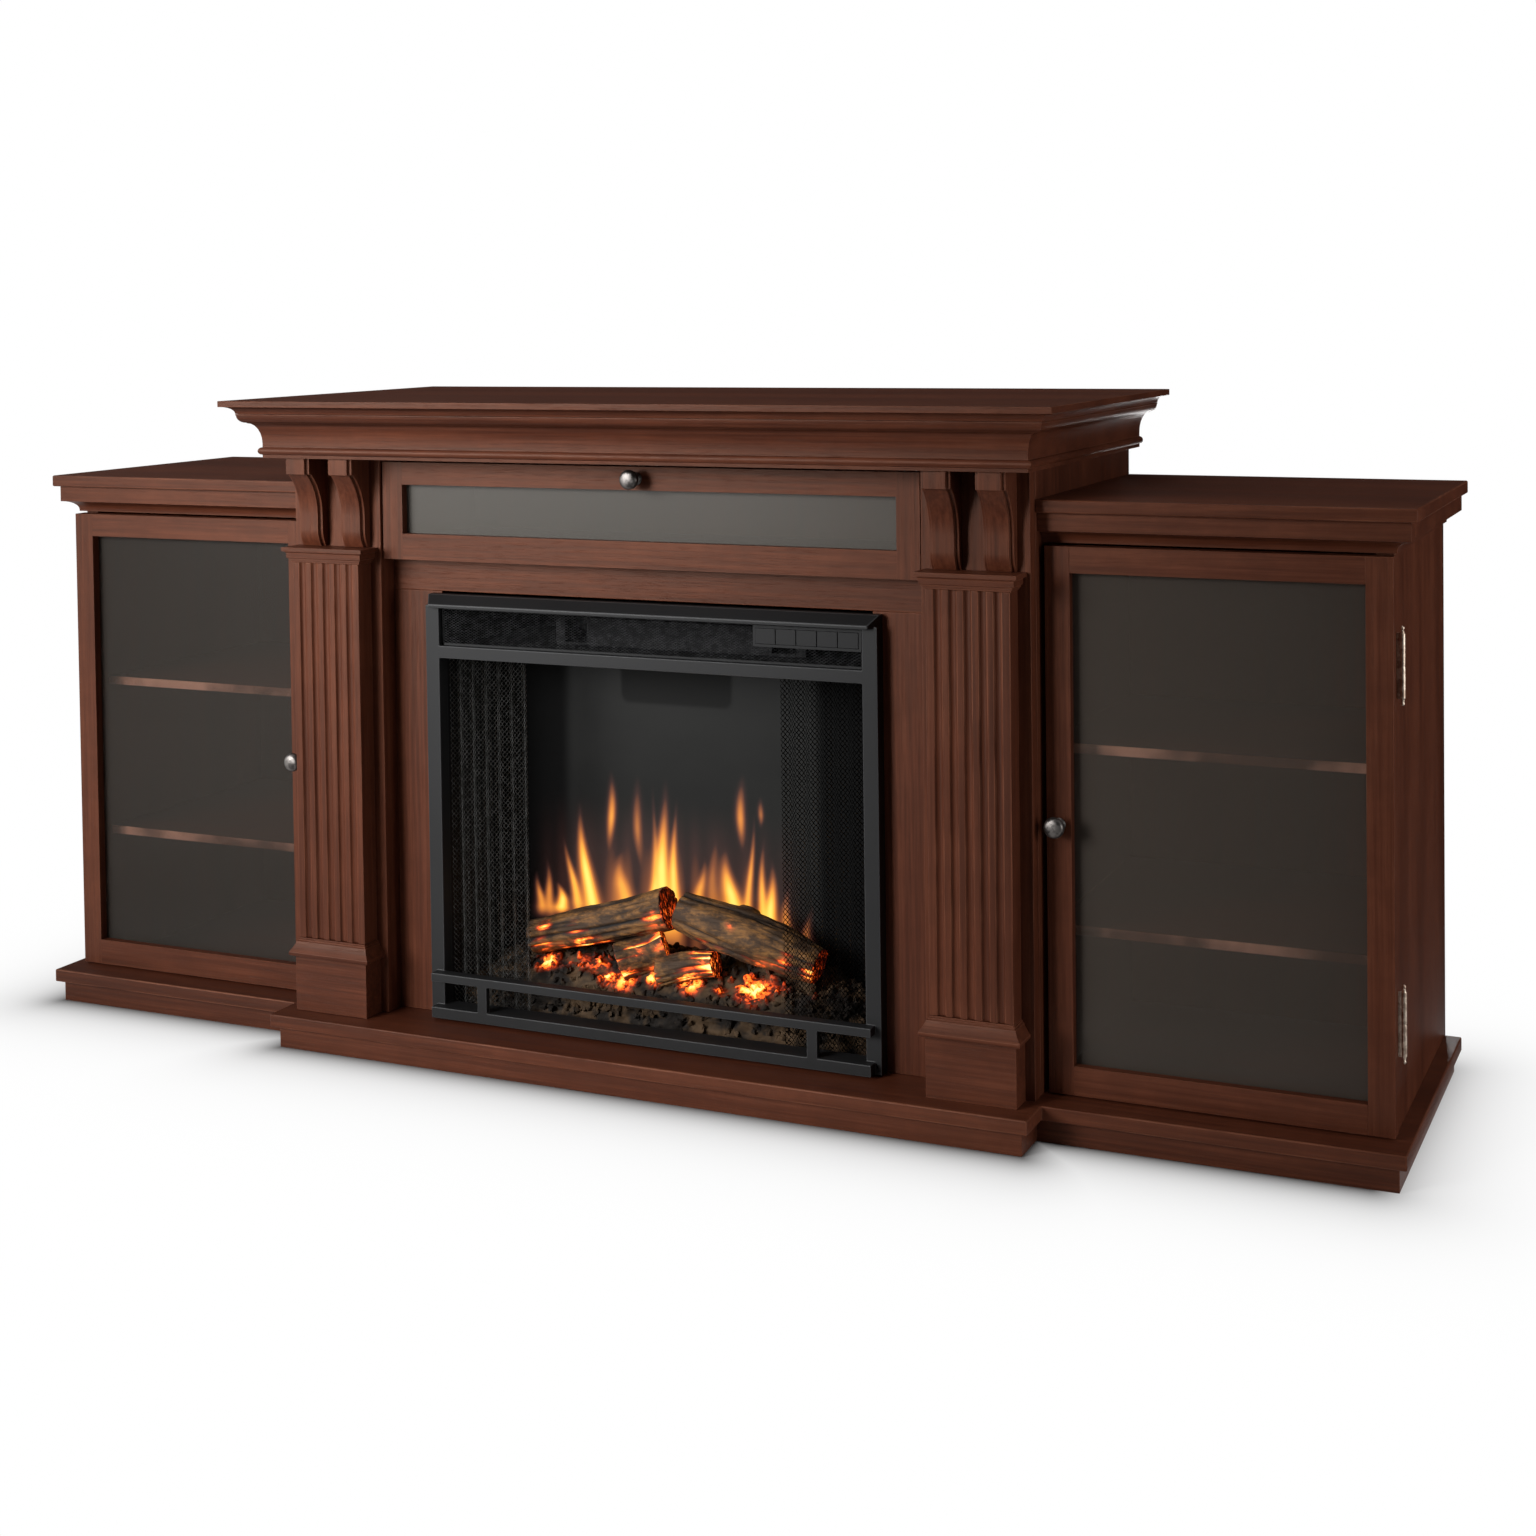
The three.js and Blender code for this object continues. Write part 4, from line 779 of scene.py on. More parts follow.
# %% Describe a tree with named inputs
class RepeatTree(Graph):
    """A Geometry Nodes tree. Its inputs are named, with an int or a float to start from."""

    def __init__(self, name, inputs):
        super().__init__(bpy.data.node_groups.new(name, "GeometryNodeTree"))
        sockets = self.tree.interface
        sockets.new_socket("Geometry", in_out="INPUT", socket_type="NodeSocketGeometry")
        sockets.new_socket("Geometry", in_out="OUTPUT", socket_type="NodeSocketGeometry")
        self.ids = {}
        for key, value in inputs.items():
            kind = "NodeSocketInt" if isinstance(value, int) else "NodeSocketFloat"
            plug = sockets.new_socket(key, in_out="INPUT", socket_type=kind)
            plug.default_value = value
            self.ids[key] = plug.identifier
        self.entry = self.tree.nodes.new("NodeGroupInput")

    def given(self, name):
        return Socket(self, self.entry.outputs[name])

    def close(self, geometry, material):
        """Every tree ends the same way: real geometry, one material, out."""
        real = self.node("GeometryNodeRealizeInstances", {}, {"Geometry": geometry})
        painted = self.node(
            "GeometryNodeSetMaterial", {}, {"Geometry": real, "Material": material})
        self.node("NodeGroupOutput", {}, {0: painted})


print("What such a tree can do:", [name for name in vars(RepeatTree) if name[0] != "_"])

# %% [markdown]
# A tree needs a mesh to run on. Sometimes that is a surface, and sometimes only points. What comes
# out is made plain, because a plain mesh is what other programs can read.

# %% Run a tree
def grow(name, mesh, repeat, values):
    """Runs a RepeatTree on a mesh, with values by input name, and leaves a plain piece."""
    piece = bpy.data.objects.new(name, mesh)
    bpy.context.scene.collection.objects.link(piece)
    nodes = piece.modifiers.new("tree", "NODES")
    nodes.node_group = repeat.tree
    for key, value in values.items():
        nodes[repeat.ids[key]] = value
    settle(piece)
    used = [material for material in piece.data.materials if material]
    piece.data.materials.clear()
    piece.data.materials.append(used[0])
    for face in piece.data.polygons:
        face.material_index = 0
    return piece


def bare_points(name, places):
    """A mesh of points alone, for a tree to put shapes on."""
    points = bpy.data.meshes.new(name)
    points.from_pydata(places, [], [])
    return points


# %% [markdown]
# ## The back panel and its screws
# The back of such a console is thin board, screwed on round its rim. The panel is let out by a
# fifth of a millimetre all round, so that no daylight shows past its edges, and it is sunk a
# little so that the screw heads stay within the depth of the CAD model.

# %% Plane the back panel
PANEL_SINK, PANEL_GROWTH, RIM = 0.7 * MM, 0.2 * MM, 0.1 * MM
panel_low, panel_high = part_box("back_panel")
shell = merged_copy("back_panel", whole=False)
for vert in shell.verts:
    if vert.co.y > panel_high.y - 1 * MM:
        vert.co.y = panel_high.y - PANEL_SINK
    for axis in (0, 2):
        if vert.co[axis] < panel_low[axis] + RIM:
            vert.co[axis] -= PANEL_GROWTH
        elif vert.co[axis] > panel_high[axis] - RIM:
            vert.co[axis] += PANEL_GROWTH
panel = new_piece("back_panel_board", shell, [wood["z"]])
round_edges(panel, 0)
stand_for(panel, "console", "dark_wood", "back_panel")
print("Back panel:", [round(v, 4) for v in panel_high - panel_low])

# %% [markdown]
# Only the heads of the screws show. Each could be an object of its own, but a tree needs one head:
# the screws stand on bare points, in rows round the rim and across the panel, and the tree puts a
# flat cone on each of them.

# %% Put the screws in
SCREW = {"Head radius": 3.2 * MM, "Head height": 0.6 * MM}
SIDE_INSET, LOW_INSET, SCREW_SEAT = 9 * MM, 12 * MM, 0.05 * MM
screw_tree = RepeatTree("screws_on_points", SCREW)
head = screw_tree.node("GeometryNodeMeshCone", {"fill_type": "NGON"}, {
    "Vertices": 14, "Side Segments": 1, "Radius Top": screw_tree.given("Head radius") * 0.55,
    "Radius Bottom": screw_tree.given("Head radius"), "Depth": screw_tree.given("Head height")})
head_to_room = screw_tree.node(
    "GeometryNodeTransform", {}, {"Geometry": head, "Rotation": (-math.pi / 2, 0, 0)})
screw_tree.close(screw_tree.node("GeometryNodeInstanceOnPoints", {}, {
    "Points": screw_tree.given("Geometry"), "Instance": head_to_room}), steel)

left_x, right_x = panel_low.x + SIDE_INSET, panel_high.x - SIDE_INSET
first_z, rail_z = panel_low.z + LOW_INSET, panel_low.z + SIDE_INSET
screw_rows = [  # x and z where a row starts, x and z where it ends, number of screws
    (left_x, first_z, left_x, 0.650, 6), (right_x, first_z, right_x, 0.650, 6),
    (-0.453, 0.09, -0.453, 0.742, 6), (0.453, 0.09, 0.453, 0.742, 6),
    (-0.70, rail_z, 0.70, rail_z, 9), (-0.34, 0.748, 0.34, 0.748, 4),
    (-0.34, 0.574, 0.34, 0.574, 3)]
screw_y = panel_high.y - PANEL_SINK - SCREW_SEAT
screw_places = [
    (x0 + (x1 - x0) * i / (count - 1), screw_y, z0 + (z1 - z0) * i / (count - 1))
    for x0, z0, x1, z1, count in screw_rows for i in range(count)]
screws = grow("back_screws", bare_points("back_screws", screw_places), screw_tree, SCREW)
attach(screws, "console")
print("Screws:", len(screw_places))

# %% [markdown]
# ## Brushes in the cable slots
# Daylight would show through the four cable slots of the back panel, and no light shows in the
# gaps over the doors in the photograph. Such slots often have a brush strip that lets a cable
# through and keeps light and dust out. A brush is one bristle tuft on many points: two staggered
# rows of slightly tapered tufts hang from a slim holder, and a fixed seed gives each tuft its own
# small lean. The slots' places come from the CAD record.

# %% Hang brushes behind the slots
TUFT_STEP, SLOT_OVERLAP = 1.2 * MM, 5 * MM
FIRST_ROW, ROW_GAP = 1.2 * MM, 1.6 * MM  # in front of the panel
HOLDER_HEIGHT, HOLDER_DEPTH, HOLDER_SPARE = 5 * MM, 4 * MM, 3 * MM
HOLDER_OUT, HOLDER_UP = 2.2 * MM, 0.5 * MM  # from the panel, and over the roots of the tufts
TUFT = {"Tuft radius": 0.75 * MM, "Tuft length": 50 * MM, "Lean": 0.012, "Seed": 3}
brush_tree = RepeatTree("brush_tufts", TUFT)
tuft = brush_tree.node("GeometryNodeMeshCone", {"fill_type": "NGON"}, {
    "Vertices": 6, "Side Segments": 1, "Radius Top": brush_tree.given("Tuft radius") * 0.75,
    "Radius Bottom": brush_tree.given("Tuft radius"), "Depth": brush_tree.given("Tuft length")})
hanging = brush_tree.node(
    "GeometryNodeTransform", {}, {"Geometry": tuft, "Rotation": (math.pi, 0, 0)})
lean = brush_tree.given("Lean")
sway = brush_tree.node("FunctionNodeRandomValue", {"data_type": "FLOAT"}, {
    2: lean * -1, 3: lean, "Seed": brush_tree.given("Seed")}, out=1)
brush_tree.close(brush_tree.node("GeometryNodeInstanceOnPoints", {}, {
    "Points": brush_tree.given("Geometry"), "Instance": hanging,
    "Rotation": brush_tree.node("ShaderNodeCombineXYZ", {}, {1: sway})}), button_plastic)


def hang_brush(name, x0, x1, z0, z1):
    """Tufts from z1 down to z0 under a holder, just in front of the back panel."""
    roots = [(x0 + TUFT_STEP * (i + row / 2), panel_low.y - (FIRST_ROW + ROW_GAP * row), z1)
             for row in (0, 1) for i in range(round((x1 - x0) / TUFT_STEP))]
    values = {**TUFT, "Tuft length": z1 - z0}
    brush = grow(name, bare_points("roots", roots), brush_tree, values)
    shell = bmesh.new()
    shell.from_mesh(brush.data)
    add_box(shell, (x1 - x0 + HOLDER_SPARE, HOLDER_DEPTH, HOLDER_HEIGHT),
            ((x0 + x1) / 2, panel_low.y - HOLDER_OUT, z1 + HOLDER_UP))
    shell.to_mesh(brush.data)
    shell.free()
    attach(brush, "console")
    return len(roots)


tuft_count = 0
for opening in frame["record"]["physics"]["openings"]:
    if opening["name"].endswith("cable_slot"):
        (x0, _, z0), (x1, _, z1) = opening["box_m"]
        tuft_count += hang_brush(f"{opening['name']}_brush", x0 - SLOT_OVERLAP,
                                 x1 + SLOT_OVERLAP, z0 - SLOT_OVERLAP, z1 + SLOT_OVERLAP)
print("Tufts in all brushes:", tuft_count)

# %% [markdown]
# ## The fireplace's front
# The front frame, its bar, the sloping hood and the trim across the foot are bent sheet steel.
# Steel bends to a radius of about its own thickness, so the edges are rounder than on wood, and
# the powder coat catches the light there; a paler charcoal on those edges adds a painted
# highlight.
# The shell, the heater and the turning parts behind it keep their CAD shape and only get a finish.

# %% Round the steel front
front = new_piece("firebox_front_steel", merged_copy("firebox_front"), [frame_steel, steel_edge_highlight])
round_edges(front, 1.1 * MM, 3, 1)
stand_for(front, "console", "black_metal", "firebox_front")
HIDDEN_FINISHES = {
    "firebox_shell": shell_steel, "heater_unit": shell_steel, "flicker_motor": button_plastic,
    "flicker_spindle": steel, "blower_wheel": steel}
for node, finish in HIDDEN_FINISHES.items():
    refinish(node, finish)
print("Front triangles:", triangles(front))

# %% [markdown]
# The push buttons are moulded caps with soft edges. Each is a copy of its CAD node with a bevel of
# half a millimetre, and rides on a body of its own, so that it can be pressed.

# %% Mould the buttons
BUTTONS = 5
for i in range(1, BUTTONS + 1):
    name = f"control_button_{i}"
    cap = new_piece(f"{name}_cap", merged_copy(name), [button_plastic])
    round_edges(cap, 0.5 * MM, 3)
    stand_for(cap, f"button_{i}", "black_plastic", name)
print("Buttons:", BUTTONS)

# %% [markdown]
# ## Nets of wire
# The vent has a fine expanded-metal net, and mesh curtains hang on either side of the fire. Both
# are one small link repeated hundreds of times: a four-cornered loop of wire whose corners touch
# those of its neighbours, so the loops leave lozenge gaps between them too. The tree lays the
# loops out on a flat grid and then bends the whole sheet into folds with a cosine. A depth of 0
# leaves it flat, so one tree serves the vent and the curtains.

# %% Bend one link
NET_INPUTS = {
    "Columns": 10, "Rows": 10, "Link width": 5 * MM, "Link height": 6 * MM,
    "Wire radius": 0.5 * MM, "Overlap": 1.05, "Left": 0.0, "Bottom": 0.0, "Plane": 0.0,
    "Gather": 1.0, "Fold depth": 0.0, "Folds per metre": 0.0}


def one_link(tree, wide, tall):
    """A loop of four wires, a little larger than its place so that it touches the next."""
    ring = tree.node("GeometryNodeCurvePrimitiveCircle", {"mode": "RADIUS"}, {
        "Resolution": 4, "Radius": 1.0})
    overlap = tree.given("Overlap")
    stretch = tree.node("ShaderNodeCombineXYZ", {}, {
        0: wide * overlap * 0.5, 1: tall * overlap * 0.5, 2: 1.0})
    loop = tree.node("GeometryNodeTransform", {}, {"Geometry": ring, "Scale": stretch})
    wire = tree.node("GeometryNodeCurvePrimitiveCircle", {"mode": "RADIUS"}, {
        "Resolution": 4, "Radius": tree.given("Wire radius")})
    return tree.node("GeometryNodeCurveToMesh", {}, {"Curve": loop, "Profile Curve": wire})


print("Inputs of a net:", len(NET_INPUTS))

# %% [markdown]
# The sheet is laid out flat first, because rows and columns are easy to count there. Every vertex
# then moves to the place where it hangs: across it is gathered, and a cosine moves it in and out.

# %% Weave and hang a sheet
def wire_net(material):
    """A tree that lays links out on a grid and hangs the sheet up in folds."""
    tree = RepeatTree("wire_net", NET_INPUTS)
    wide, tall = tree.given("Link width"), tree.given("Link height")
    columns, rows = tree.given("Columns"), tree.given("Rows")
    grid = tree.node("GeometryNodeMeshGrid", {}, {
        "Size X": wide * (columns - 1), "Size Y": tall * (rows - 1),
        "Vertices X": columns, "Vertices Y": rows})
    laid = tree.node("GeometryNodeInstanceOnPoints", {}, {
        "Points": grid, "Instance": one_link(tree, wide, tall)})
    flat_net = tree.node("GeometryNodeRealizeInstances", {}, {"Geometry": laid})
    flat_place = tree.node("GeometryNodeInputPosition")
    flat_x, flat_y, flat_z = (
        tree.node("ShaderNodeSeparateXYZ", {}, {0: flat_place}, out=i) for i in range(3))
    run = flat_x + wide * columns * 0.5
    turns = run * tree.given("Folds per metre") * (2 * math.pi)
    hung = tree.node("ShaderNodeCombineXYZ", {}, {
        0: tree.given("Left") + run * tree.given("Gather"),
        1: tree.given("Plane") - turns.cosine() * tree.given("Fold depth") - flat_z,
        2: tree.given("Bottom") + flat_y + tall * rows * 0.5})
    tree.close(tree.node("GeometryNodeSetPosition", {}, {
        "Geometry": flat_net, "Position": hung}), material)
    return tree


def net(name, tree, sizes):
    piece = grow(name, bpy.data.meshes.new(name), tree, sizes)
    for face in piece.data.polygons:
        face.use_smooth = False
    return piece


grille_tree = wire_net(grille_wire)
print("Nodes that weave a net:", len(grille_tree.tree.nodes))

# %% [markdown]
# ## The curtains
# Set Material holds one material for a tree, and the wire of the two curtains and the vent
# differs, so each of them has a tree of its own. A curtain is wider when it is laid flat than when
# it hangs in folds. Its flat width is the length of the cosine that it follows, and whole links
# are counted from that.

# %% Weave the curtains
CURTAIN_FOLDS, FOLD_DEPTH, CURTAIN_MARGIN = 6, 2.5 * MM, 1.2 * MM
LINK_WIDE, LINK_TALL = 5.0 * MM, 6.0 * MM
low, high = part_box("mesh_curtain_left")
hung_width = high.x - low.x - 2 * CURTAIN_MARGIN
steps = np.linspace(0, 2 * math.pi * CURTAIN_FOLDS, 2001)
slope = FOLD_DEPTH * 2 * math.pi * CURTAIN_FOLDS / hung_width * np.sin(steps)
cloth_width = hung_width * float(np.mean(np.sqrt(1 + slope ** 2)))
curtain_columns = round(cloth_width / LINK_WIDE)
curtain_rows = int((high.z - low.z - 2 * CURTAIN_MARGIN) / LINK_TALL)
flat_size = (curtain_columns * LINK_WIDE, curtain_rows * LINK_TALL)
for side in ("left", "right"):
    low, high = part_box(f"mesh_curtain_{side}")
    curtain = net(f"mesh_curtain_{side}_net", wire_net(lit_and_shaded_wire[side]), {
        "Columns": curtain_columns, "Rows": curtain_rows, "Link width": LINK_WIDE,
        "Link height": LINK_TALL, "Wire radius": 0.57 * MM, "Overlap": 1.08,
        "Left": low.x + CURTAIN_MARGIN, "Bottom": low.z + CURTAIN_MARGIN,
        "Plane": (low.y + high.y) / 2, "Gather": hung_width / flat_size[0],
        "Fold depth": FOLD_DEPTH, "Folds per metre": CURTAIN_FOLDS / flat_size[0]})
    stand_for(curtain, "console", "curtain_mesh", f"mesh_curtain_{side}")
print("Flat curtain:", [round(v, 4) for v in flat_size],
      "links:", curtain_columns * curtain_rows)

# %% [markdown]
# The photograph shows no rod, but a mesh curtain has to hang from something, so a slim rod is
# assumed along the curtains' tops. It is a turned cylinder.

# %% Hang the curtains from a rod
ROD_HALF, ROD_RADIUS, ROD_DROP = 0.2682, 2 * MM, 2.2 * MM
rod_profile = [(0, -ROD_HALF), (ROD_RADIUS, -ROD_HALF), (ROD_RADIUS, ROD_HALF), (0, ROD_HALF)]
rod_place = (0, (low.y + high.y) / 2, high.z - ROD_DROP)
rod = new_piece("curtain_rod", turned(rod_profile, rod_place, (1, 0, 0), 12), [frame_steel])
round_edges(rod, 0)
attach(rod, "console")
print("Rod length:", round(2 * ROD_HALF, 4))

# %% [markdown]
# ## The vent and its control bezel
# The vent's net fills the band under the hood. The control bezel sits in front of it in the upper
# right corner, with five push buttons in its pocket. The CAD node carries both, so the bezel is
# cut from a copy of that node, and the coarse CAD net gives way to the fine one in a border of
# four flat bars.

# %% Weave the vent
VENT_WIDE, VENT_TALL = 5.6 * MM, 3.2 * MM  # about the size of one link
VENT_BORDER, BAR_DEPTH, BAR_SINK, NET_SINK = 2.4 * MM, 1.4 * MM, 1 * MM, 0.2 * MM
BEZEL_LEFT, BEZEL_HEIGHT, TRIM_SIDE, TRIM_LOW = 137.9 * MM, 26 * MM, 0.5 * MM, 0.4 * MM
low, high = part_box("vent_grille")
bezel_bottom = high.z - BEZEL_HEIGHT


def vent_field(name, x0, x1, z0, z1):
    columns, rows = round((x1 - x0) / VENT_WIDE), round((z1 - z0) / VENT_TALL)
    return net(name, grille_tree, {
        "Columns": columns, "Rows": rows, "Link width": (x1 - x0) / columns,
        "Link height": (z1 - z0) / rows, "Wire radius": 0.42 * MM, "Overlap": 1.06,
        "Left": x0, "Bottom": z0, "Plane": high.y - BAR_SINK - NET_SINK, "Gather": 1.0,
        "Fold depth": 0.0, "Folds per metre": 0.0})


inner_left, inner_right = low.x + VENT_BORDER, high.x - VENT_BORDER
inner_low, inner_high = low.z + VENT_BORDER, high.z - VENT_BORDER
fields = [vent_field("vent_net_wide", inner_left, BEZEL_LEFT, inner_low, inner_high),
          vent_field("vent_net_low", BEZEL_LEFT, inner_right, inner_low, bezel_bottom)]
shell = merged_copy("vent_grille")
clipped(shell, 0, BEZEL_LEFT + TRIM_SIDE, True)
clipped(shell, 2, bezel_bottom + TRIM_LOW, True)
for x0, x1, z0, z1 in (
        (low.x, high.x, low.z, inner_low), (low.x, BEZEL_LEFT, inner_high, high.z),
        (low.x, inner_left, low.z, high.z), (inner_right, high.x, low.z, high.z)):
    add_box(shell, (x1 - x0, BAR_DEPTH, z1 - z0),
            ((x0 + x1) / 2, high.y - BAR_SINK, (z0 + z1) / 2))
for face in shell.faces:
    face.material_index = 1
for field in fields:
    shell.from_mesh(field.data)
    bpy.data.objects.remove(field)
vent = new_piece("vent_net_and_bezel", shell, [grille_wire, button_plastic])
stand_for(vent, "console", "grille_metal", "vent_grille")
print("Vent triangles:", triangles(vent))

# %% [markdown]
# ## Heat
# The logs of an electric fire are cast resin with lamps under them. Light leaks out where the
# shell is thin: between the logs, along cracks and at the sawn ends. `heat` is a number that is
# highest at the middle of each such place and falls to 0 at its rim, and every finish of the fire
# bed turns it into colour with the same ramp, from dull red through orange to pale yellow.

# %% Describe where it glows
HOT_SPOTS = [  # x, y, z and reach, in millimetres, then how hot the middle is
    (-161, -88, 113, 26, 0.95), (-138, -88, 117, 22, 0.80), (-112, -88, 125, 30, 1.00),
    (-92, -88, 121, 28, 1.00), (-52, -104, 106, 30, 0.85), (-72, -100, 102, 20, 0.75),
    (-14, -98, 108, 20, 0.85), (-12, -80, 168, 28, 0.80), (-8, -80, 142, 30, 0.85),
    (-34, -92, 132, 26, 0.70), (66, -94, 126, 26, 0.95), (86, -96, 119, 26, 0.92),
    (113, -96, 115, 38, 1.00), (138, -92, 119, 26, 0.90), (180, -92, 119, 24, 0.85),
    (74, -99, 107, 18, 0.78), (34, -98, 108, 26, 0.85), (52, -92, 128, 24, 0.80),
    (84, -98, 176, 14, 0.62), (-165, -88, 150, 16, 0.80), (40, -92, 142, 20, 0.62),
    (150, -96, 140, 16, 0.55), (-120, -92, 146, 20, 0.45), (24, -94, 188, 14, 0.50)]
HEAT_COLORS = [(0.0, (0, 0, 0)), (0.22, (0.10, 0.006, 0.0)), (0.42, (0.62, 0.055, 0.006)),
               (0.64, (1.0, 0.22, 0.02)), (0.84, (1.0, 0.52, 0.07)), (1.0, (1.0, 0.80, 0.30))]
GLOW_STRENGTH = 1.6


def heat(finish):
    """How hot a point of the fire bed is, from 0 to 1."""
    warmth = None
    for x, y, z, reach, middle in HOT_SPOTS:
        away = finish.vector("DISTANCE", finish.place, (x * MM, y * MM, z * MM), out="Value")
        spot = (1 - away / (reach * MM)) * middle
        warmth = spot if warmth is None else warmth.larger(spot)
    return warmth.larger(0.0)


def glowing(finish, amount):
    color = finish.node("ShaderNodeValToRGB", {"stops": HEAT_COLORS}, {0: amount})
    finish.feed("Emission Color", color)
    finish.feed("Emission Strength", GLOW_STRENGTH)


print("Hot spots:", len(HOT_SPOTS))

# %% [markdown]
# Three finishes burn: the bark of the logs, their sawn ends, and the coals. Bark has dark furrows
# between tan and grey ridges, and glows most in its furrows. A sawn end is split in rays and lit
# from inside. A coal is charred black with patches of ash, and its lumps glow unevenly.

# %% Mix the finishes that burn
def fired_bark(name):
    """Bark with dark furrows, tan ridges and light that leaks from its cracks."""
    finish = Finish(name, Specular_IOR_Level=0.3, Roughness=0.72)
    furrow = finish.node("ShaderNodeAttribute", {"attribute_name": "furrow"}, out="Fac")
    blotch = finish.noise((38, 60, 60), 5, 0.62)
    fibre = finish.noise((60, 420, 420), 4, 0.6)
    tan = finish.mix(blotch.between(0.40, 0.60), (0.040, 0.020, 0.009), (0.25, 0.115, 0.034))
    grey = finish.mix(fibre.between(0.35, 0.65) * 0.7, tan, (0.060, 0.034, 0.018))
    finish.feed("Base Color", finish.mix(furrow, grey, (0.008, 0.006, 0.005)))
    crack = furrow * 0.9 + blotch.between(0.45, 0.62) * 0.45
    glowing(finish, (heat(finish) * (0.30 + crack * 1.15)).between(0.08, 0.80))
    finish.bump(fibre + blotch, 1.2 * MM, 0.8)
    return finish.material


def sawn_end(name):
    """The cut end of a log: split in rays, charred, and lit from inside."""
    finish = Finish(name, Specular_IOR_Level=0.2, Roughness=0.8)
    splits = finish.noise((420, 420, 70), 3, 0.7)
    charred = finish.mix(splits.between(0.4, 0.6), (0.015, 0.009, 0.007), (0.09, 0.04, 0.02))
    finish.feed("Base Color", charred)
    glowing(finish, (heat(finish) * 0.6 + 0.25) * splits.between(0.46, 0.66) * 1.15)
    finish.bump(splits, 2 * MM, 0.9)
    return finish.material


def charred_coal(name):
    """Black coal with patches of ash, whose lumps glow unevenly."""
    finish = Finish(name, Specular_IOR_Level=0.16, Roughness=0.78)
    lump = finish.noise(120, 4, 0.6)
    ash = finish.noise(34, 3, 0.55, (1.3, 0.2, 2.4))
    coal = finish.mix(ash.between(0.42, 0.64), (0.014, 0.011, 0.009), (0.085, 0.052, 0.028))
    dusted = finish.mix(lump.between(0.58, 0.78) * 0.4, coal, (0.11, 0.080, 0.052))
    finish.feed("Base Color", dusted)
    glowing(finish, (heat(finish) * (0.45 + lump.between(0.30, 0.62))).between(0.10, 0.95))
    finish.bump(lump, 1.2 * MM, 0.8)
    return finish.material


bark = fired_bark("fired_bark")
log_end = sawn_end("sawn_end")
coal = charred_coal("charred_coal")
print("Nodes in the bark:", len(bark.node_tree.nodes))

# %% [markdown]
# ## Logs
# A log is a tapering tube. Its bark is ridges that run along it and break up into plates, so the
# radius is moved in and out by noise stretched along the log. How deep each point lies is kept in
# an attribute named `furrow` for the bark finish to read. One log has a knot: a swollen ring with
# a dent in it. The tube ends in a sawn face of four dented rings.

# %% Give bark its relief
def bark_relief(turn, share, length, base, seed, knot):
    """How far the bark swells, as a factor of the radius, and how deep its furrow is."""
    x, y = Vector((math.cos(turn), math.sin(turn)))
    plates = noise.fractal(
        Vector((x * 2.6, y * 2.6, share * length * 28)) + Vector((seed, 0, 0)), 0.9, 2.1, 4)
    ridges = noise.noise(Vector((x * 5.5, y * 5.5, share * length * 14 + seed * 3)))
    cut = max(0.0, -ridges * 1.6 - 0.12)
    swell = 1 + 0.05 * plates + 0.05 * ridges - 0.12 * min(cut, 0.8)
    if knot:
        knot_turn, knot_share, knot_size = knot
        away = math.hypot((turn - knot_turn) * base, (share - knot_share) * length)
        away /= knot_size * MM
        swell += 0.16 * math.exp(-(away - 1) ** 2 * 6) - 0.08 * math.exp(-away ** 2 * 9)
        cut = max(cut, 0.9 * math.exp(-away ** 2 * 6))
    return swell, min(1.0, cut * 1.5)


print("Swell and furrow at one point:",
      [round(value, 3) for value in bark_relief(1.0, 0.5, 0.18, 0.02, 1.3, None)])

# %% [markdown]
# `log` sets ring after ring of points round a line that sways a little, and joins them up.
# `saw_off` closes each end with rings of dented wood. Two long logs rise towards the middle, and
# two short ones lie lower and a little in front of them.

# %% Carve the logs
def saw_off(shell, ring, outward, seed):
    """Closes one end of a log with rings of dented, sawn wood."""
    sides = len(ring)
    middle = sum((v.co for v in ring), Vector()) / sides
    outer = ring
    for share in (0.93, 0.7, 0.45, 0.2):
        inner = []
        for v in ring:
            spoke = (v.co - middle) * share
            dent = noise.noise(spoke * 210 + Vector((seed, 0, 0))) * 1.5 * MM
            inner.append(shell.verts.new(middle + spoke + outward * (0.8 * MM + dent)))
        for j in range(sides):
            k = (j + 1) % sides
            face = shell.faces.new((outer[j], outer[k], inner[k], inner[j]))
            face.material_index, face.smooth = 1, True
        outer = inner
    shell.faces.new(outer).material_index = 1


SWAY_UP, SWAY_ASIDE = 1.8, 1.2  # millimetres


